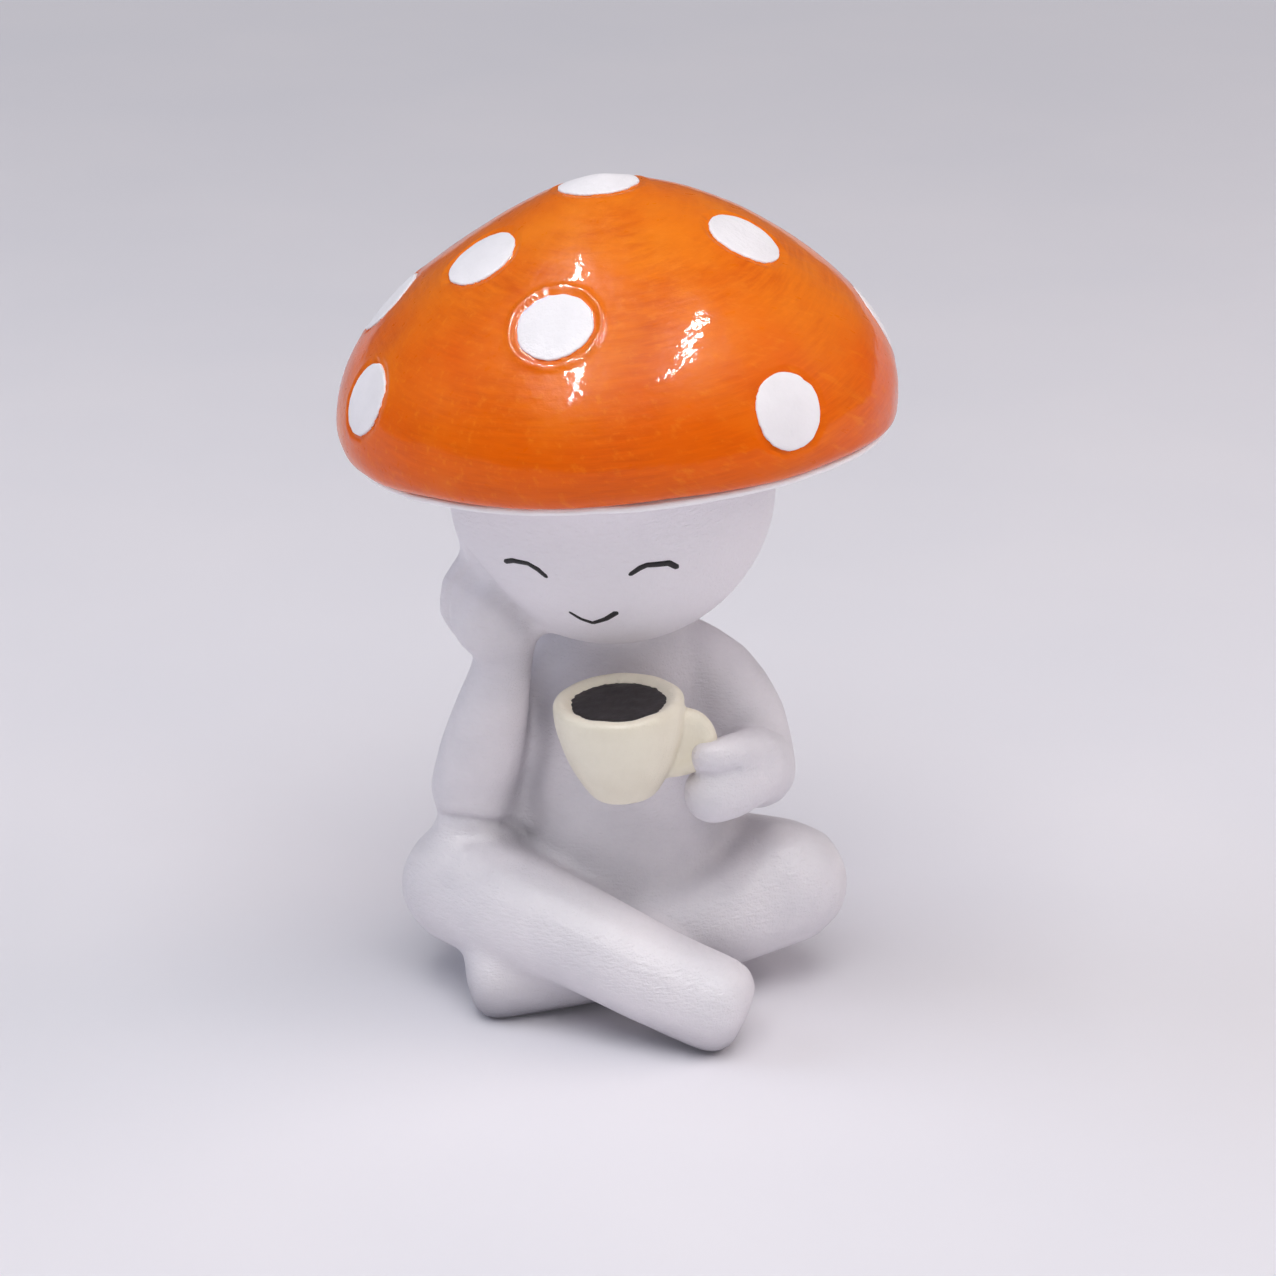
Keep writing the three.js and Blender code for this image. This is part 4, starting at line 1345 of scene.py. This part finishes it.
    def plate(self) -> bpy.types.Mesh:
        """Builds the white ring that closes the cap round the head.

        Returns:
            Its mesh.
        """
        top = -self.rim_drop - 0.05
        outer = self.radius - self.rim_tuck + self.plate_proud
        inner = self.figure.head_radius * 0.9
        low = top - self.plate_lip
        half = self.plate_lip / 2
        turns = [i / 6 * math.pi / 2 for i in range(7)]
        round_edge = [(outer - half * (1 - math.sin(a)), low + half * (1 - math.cos(a))) for a in turns]
        dish = [(inner + (outer - inner) * i / 12, low + self.plate_dish * (1 - i / 12))
                for i in range(1, 11)]
        behind = (inner, low + self.plate_dish + 2.4)
        bm = bmesh.new()
        spin_profile(bm, [behind, (inner, low + self.plate_dish), *dish, *round_edge, (outer, top),
                          (outer - 1.5, top), (outer - 1.5, top + 1.6), behind], 240)
        for vert in bm.verts:
            self.fill_side(vert.co)
            vert.co += UP * 0.12 * noise.noise(vert.co / 4)
        bmesh.ops.transform(bm, matrix=self.place(), verts=bm.verts)
        return mesh_of(bm)


@dataclass
class CoffeeCup:
    """The cream cup with its handle, and the coffee in it.

    Attributes:
        radius: at the rim, in millimetres, as the rest.
        height: from foot to rim.
        foot: radius of the foot.
        wall: thickness of the wall.
        floor: thickness of the bottom.
        tip: how far it tips forward and to the figure's right, in degrees.
        fill: from the coffee up to the rim.
        ring: width of the cream ring between the wall and the coffee.
        handle_radius: of the handle's section at its upper end.
        handle_reach: from the cup's side to the outside of the loop.
        handle_top: from the rim down to the handle's upper end.
        handle_height: from its upper end to its lower end.
        web_from: where the web in the loop starts, from the loop's middle plane to the back.
        web_thickness: how thick the web is.
        grid: the distance between the skin's points.
        lip_height: of the round lip.
    """

    radius: float = 7.35
    height: float = 11.6
    foot: float = 3.6
    wall: float = 1.75
    floor: float = 2.0
    tip: tuple[float, float] = (2.0, -3.5)
    fill: float = 0.5
    ring: float = 0.3
    handle_radius: float = 1.2
    handle_reach: float = 3.2
    handle_top: float = 2.7
    handle_height: float = 6.3
    web_from: float = -1.1
    web_thickness: float = 1.7
    grid: float = 0.2
    lip_height: float = 0.7

    def place(self) -> Matrix:
        """Finds where the cup is, from its coffee's CAD node.

        Returns:
            The place, with its origin in the rim's middle.
        """
        forward, right = (math.radians(a) for a in self.tip)
        turn = Matrix.Rotation(forward, 4, "X") @ Matrix.Rotation(right, 4, "Y")
        low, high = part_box("coffee")
        coffee_depth = self.height - self.floor - self.fill
        top = Vector((0, 0, -self.fill - coffee_depth / 2))
        return Matrix.Translation((low + high) / (2 * MM)) @ turn @ Matrix.Translation(-top)

    def outside(self) -> list[tuple[float, float]]:
        """Works out the outside of the wall.

        Returns:
            Radius and height of its points, from the foot's middle to the lip.
        """
        line = [(0.0, -self.height), (self.foot * 0.6, -self.height), (self.foot - 0.5, -self.height + 0.05)]
        for i in range(25):
            share = i / 24
            swell = math.sin(share * math.pi / 2) ** 0.8
            up = (share - 1) * (self.height - self.lip_height) - self.lip_height
            line.append((self.foot + (self.radius - self.foot) * swell, up))
        return line

    def lip(self) -> list[tuple[float, float]]:
        """Works out the round lip.

        Returns:
            Radius and height of its points, from the outside to the inside.
        """
        half, high = self.wall / 2, self.lip_height
        turns = [i / 8 * math.pi for i in range(1, 8)]
        return [(self.radius - half + half * math.cos(a), -high + high * math.sin(a)) for a in turns]

    def inside(self) -> list[tuple[float, float]]:
        """Works out the inside of the wall below the cream ring.

        Returns:
            Radius and height of its points, down to the middle of the bottom.
        """
        radius, depth = self.radius - self.wall - self.ring, self.height - self.floor
        turns = [i / 12 * math.pi / 2 for i in range(13)]
        return [(radius * math.cos(a) ** 0.7 if i < 12 else 0.0, -max(depth * math.sin(a), self.fill + 0.1))
                for i, a in enumerate(turns)]

    def handle_line(self) -> list[tuple[float, float, float]]:
        """Sets out the handle's loop.

        Returns:
            Its points: x, z and the share of the handle's radius there.
        """
        side = self.radius - self.handle_radius
        out = self.radius + self.handle_reach - self.handle_radius
        drops = [(side - 0.8, 0.1, 1.05), (side + 1.5, 0.1, 1.05),
                 (out + 0.1, 0.24 * self.handle_height, 0.95), (out + 0.2, 0.6 * self.handle_height, 1.25),
                 (side + 1.6, 0.92 * self.handle_height, 1.3), (side - 2.2, self.handle_height, 1.0)]
        return [(x, -self.handle_top - drop, share) for x, drop, share in drops]

    def web(self, bm: bmesh.types.BMesh) -> None:
        """Fills the handle's loop with a thin web of paint, set back from its face.

        Args:
            bm: the cup.
        """
        line = [(x, z) for x, z, _ in self.handle_line()]
        corners = [bm.verts.new((x, self.web_from, z)) for x, z in [*line, (line[0][0] - 1, line[0][1])]]
        face = bmesh.ops.contextual_create(bm, geom=corners)["faces"]
        pushed = bmesh.ops.extrude_face_region(bm, geom=face, use_keep_orig=True)["geom"]
        moved = [v for v in pushed if isinstance(v, bmesh.types.BMVert)]
        bmesh.ops.translate(bm, vec=(0, self.web_thickness, 0), verts=moved)
        bmesh.ops.recalc_face_normals(bm, faces=bm.faces)

    def handle(self, bm: bmesh.types.BMesh) -> None:
        """Adds the handle, a bar swept along a loop.

        Args:
            bm: the cup.
        """
        ends = self.handle_line()
        shares = [share for _, _, share in ends]
        bm.from_mesh(swept([(x, 0, z) for x, z, _ in ends], shares, self.handle_radius, 3, (10, 4)))
        bmesh.ops.remove_doubles(bm, verts=bm.verts, dist=MERGE)
        self.web(bm)

    def roughen(self, bm: bmesh.types.BMesh) -> None:
        """Gives the cup hand-made lumps, an uneven lip and a ragged edge where the cream meets the coffee.

        Args:
            bm: the cup.
        """
        bm.normal_update()
        for vert in bm.verts:
            across = Vector((vert.co.x, vert.co.y, 0))
            lumps = 0.1 * noise.noise(vert.co / 3.5)
            if vert.co.z > -1.0 and across.length > 1:
                round_lip = across.normalized()
                lumps += 0.12 * noise.noise(round_lip * 2.1 + Vector((3, 0, 0)))
                inner = self.radius - self.wall
                if inner - 1 < across.length < inner + 0.4:
                    ragged = 0.2 * noise.noise(round_lip * 5 + Vector((0, 5, 0)))
                    ragged += 0.26 * noise.noise(round_lip * 12)
                    share = 1 - min(1.0, abs(across.length - inner + self.ring) / 0.7)
                    vert.co -= round_lip * ragged * share
                    lumps += 0.1 * share
            vert.co += vert.normal * lumps

    def build(self) -> None:
        """Builds and dresses the cup and the coffee."""
        bm = bmesh.new()
        spin_profile(bm, [*self.outside(), *self.lip(), *self.inside()], 96)
        self.handle(bm)
        mesh = with_modifiers(
            mesh_of(bm),
            ("REMESH", {"mode": "VOXEL", "voxel_size": self.grid}),
            ("SMOOTH", {"factor": 0.5, "iterations": 10}),
        )
        bm = bmesh_of(mesh)
        self.roughen(bm)
        bmesh.ops.transform(bm, matrix=self.place(), verts=bm.verts)
        finish_piece("cup_body", mesh_of(bm), CUP_PAINT, Slot.CUP, "cup")
        finish_piece("coffee_fill", self.coffee(), CoffeePaint(), Slot.COFFEE, "coffee")

    def coffee(self) -> bpy.types.Mesh:
        """Builds the coffee, a dark filling that passes under the cream's ragged edge.

        Returns:
            Its mesh.
        """
        bm = bmesh.new()
        edge = self.radius - self.wall + 0.05
        top = [(0.0, -self.fill), *[(edge * i / 14, -self.fill - 0.12 * (i > 12)) for i in range(1, 15)]]
        below = [(edge * 0.99, -self.fill - 0.5), (edge * 0.8, -self.fill - 4), (0.0, -self.fill - 6)]
        spin_profile(bm, top + below, 120)
        for vert in bm.verts:
            across = Vector((vert.co.x, vert.co.y, 0))
            vert.co.z += 0.08 * noise.noise(across / 2.4)
        bmesh.ops.transform(bm, matrix=self.place(), verts=bm.verts)
        return mesh_of(bm)


@dataclass
class DowelPins:
    """The pins hidden in the joints, which stay as the frame has them."""

    def build(self) -> None:
        """Dresses the pins."""
        for name in sorted(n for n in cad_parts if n.endswith("_pin")):
            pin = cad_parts[name]
            pin.data.materials.clear()
            pin.data.materials.append(TurnedSteel().material())
            LOG.info("%s: dressed", name)


@dataclass
class Studio:
    """Camera, table and lamps.

    Attributes:
        elevation: how far the camera looks down, in degrees.
        distance: from the camera to the point that it looks at, in metres, as the rest.
        target: that point.
        picture_pixels: the photograph's width.
        pixels_per_mm: the photograph's scale at the target.
        sensor: the camera's sensor width, in millimetres.
        aim_height: the height that the lamps face.
        table_half: half the width of the table's sheet.
    """

    elevation: float = 22.0
    distance: float = 0.42
    target: tuple[float, float, float] = (0.00235, -0.00255, 0.044)
    picture_pixels: int = 1276
    pixels_per_mm: float = 8.75
    sensor: float = 36.0
    aim_height: float = 0.06
    table_half: float = 6.0

    def camera(self) -> None:
        """Sets up the camera at the photograph's angle."""
        data = bpy.data.cameras.new("camera")
        data.sensor_width = self.sensor
        data.sensor_fit = "HORIZONTAL"
        data.lens = self.pixels_per_mm * self.distance / MM * self.sensor / self.picture_pixels
        data.clip_start = 0.01
        data.clip_end = 20.0
        camera = placed("camera", data)
        tilt = math.radians(self.elevation)
        target = Vector(self.target)
        camera.location = target + Vector((0, -math.cos(tilt), math.sin(tilt))) * self.distance
        camera.rotation_euler = (math.pi / 2 - tilt, 0, 0)
        bpy.context.scene.camera = camera

    def table(self) -> None:
        """Lays the table's sheet, large enough to have no edge in any view."""
        bm = bmesh.new()
        bmesh.ops.create_grid(bm, x_segments=1, y_segments=1, size=self.table_half)
        mesh = mesh_of(bm, "table")
        mesh.materials.append(PaperTable().material())
        placed("table", mesh)

    def lamp(self, name: str, watts: float, size: tuple[float, float], azimuth: float, elevation: float,
             distance: float = 1.0, colour: str = "#ffffff",
             along: tuple[float, float, float] | None = None) -> None:
        """Hangs an area lamp that faces the ornament.

        Args:
            name: the lamp's name.
            watts: its power.
            size: its width and length, in metres.
            azimuth: its direction from the ornament, in degrees from the front towards the figure's left.
            elevation: its angle above the table, in degrees.
            distance: how far away it is, in metres.
            colour: its colour, as sRGB hex.
            along: the direction of a bare strip's length. Such a strip shows only in the gloss.
        """
        data = bpy.data.lights.new(name, "AREA")
        data.shape = "RECTANGLE"
        data.size, data.size_y = size
        data.energy = watts
        data.color = linear(colour)[:3]
        lamp = placed(name, data)
        turn, rise = math.radians(azimuth), math.radians(elevation)
        away = Vector((math.sin(turn) * math.cos(rise), -math.cos(turn) * math.cos(rise), math.sin(rise)))
        lamp.location = UP * self.aim_height + away * distance
        length = Vector(along or UP)
        length = (length - away * length.dot(away)).normalized()
        lamp.rotation_euler = Matrix((length.cross(away), length, away)).transposed().to_euler()
        lamp.visible_glossy = along is not None
        lamp.visible_diffuse = along is None

    def world(self) -> None:
        """Gives the room its soft, even light."""
        world = bpy.data.worlds.new("room")
        world.use_nodes = True
        tree = world.node_tree
        background = tree.nodes["Background"]
        background.inputs["Color"].default_value = linear("#e2e4ec")
        background.inputs["Strength"].default_value = 0.13
        bpy.context.scene.world = world

    def build(self) -> None:
        """Sets up the whole studio."""
        self.camera()
        self.table()
        self.world()
        self.lamp("ceiling", 6.9, (0.9, 0.9), 0, 70)
        self.lamp("side_right", 3.2, (0.6, 0.6), 95, 32, colour="#fff2ef")
        self.lamp("side_left", 2.9, (0.6, 0.6), -95, 32, colour="#ebf1ff")
        self.lamp("front_right", 0.8, (0.6, 0.6), 50, 45)
        self.lamp("front_low", 1.55, (0.5, 0.5), 0, 10)
        self.lamp("strip_right", 6.5, (0.02, 0.52), 47.5, 67.5, 0.89, along=(0.27, 0.96, 0))
        self.lamp("strip_left", 13.0, (0.02, 0.815), -64.5, 71.7, 0.86, along=(0, 1, 0))
        bpy.context.scene.view_settings.view_transform = "Standard"


def main() -> None:
    """Builds the ornament and its studio."""
    logging.basicConfig(level=logging.INFO, format="%(name)s: %(message)s")
    Studio().build()
    figure = Figure()
    figure.build()
    FaceLines(figure).build()
    MushroomCap(figure).build()
    CoffeeCup().build()
    DowelPins().build()


if __name__ == "__main__":
    main()
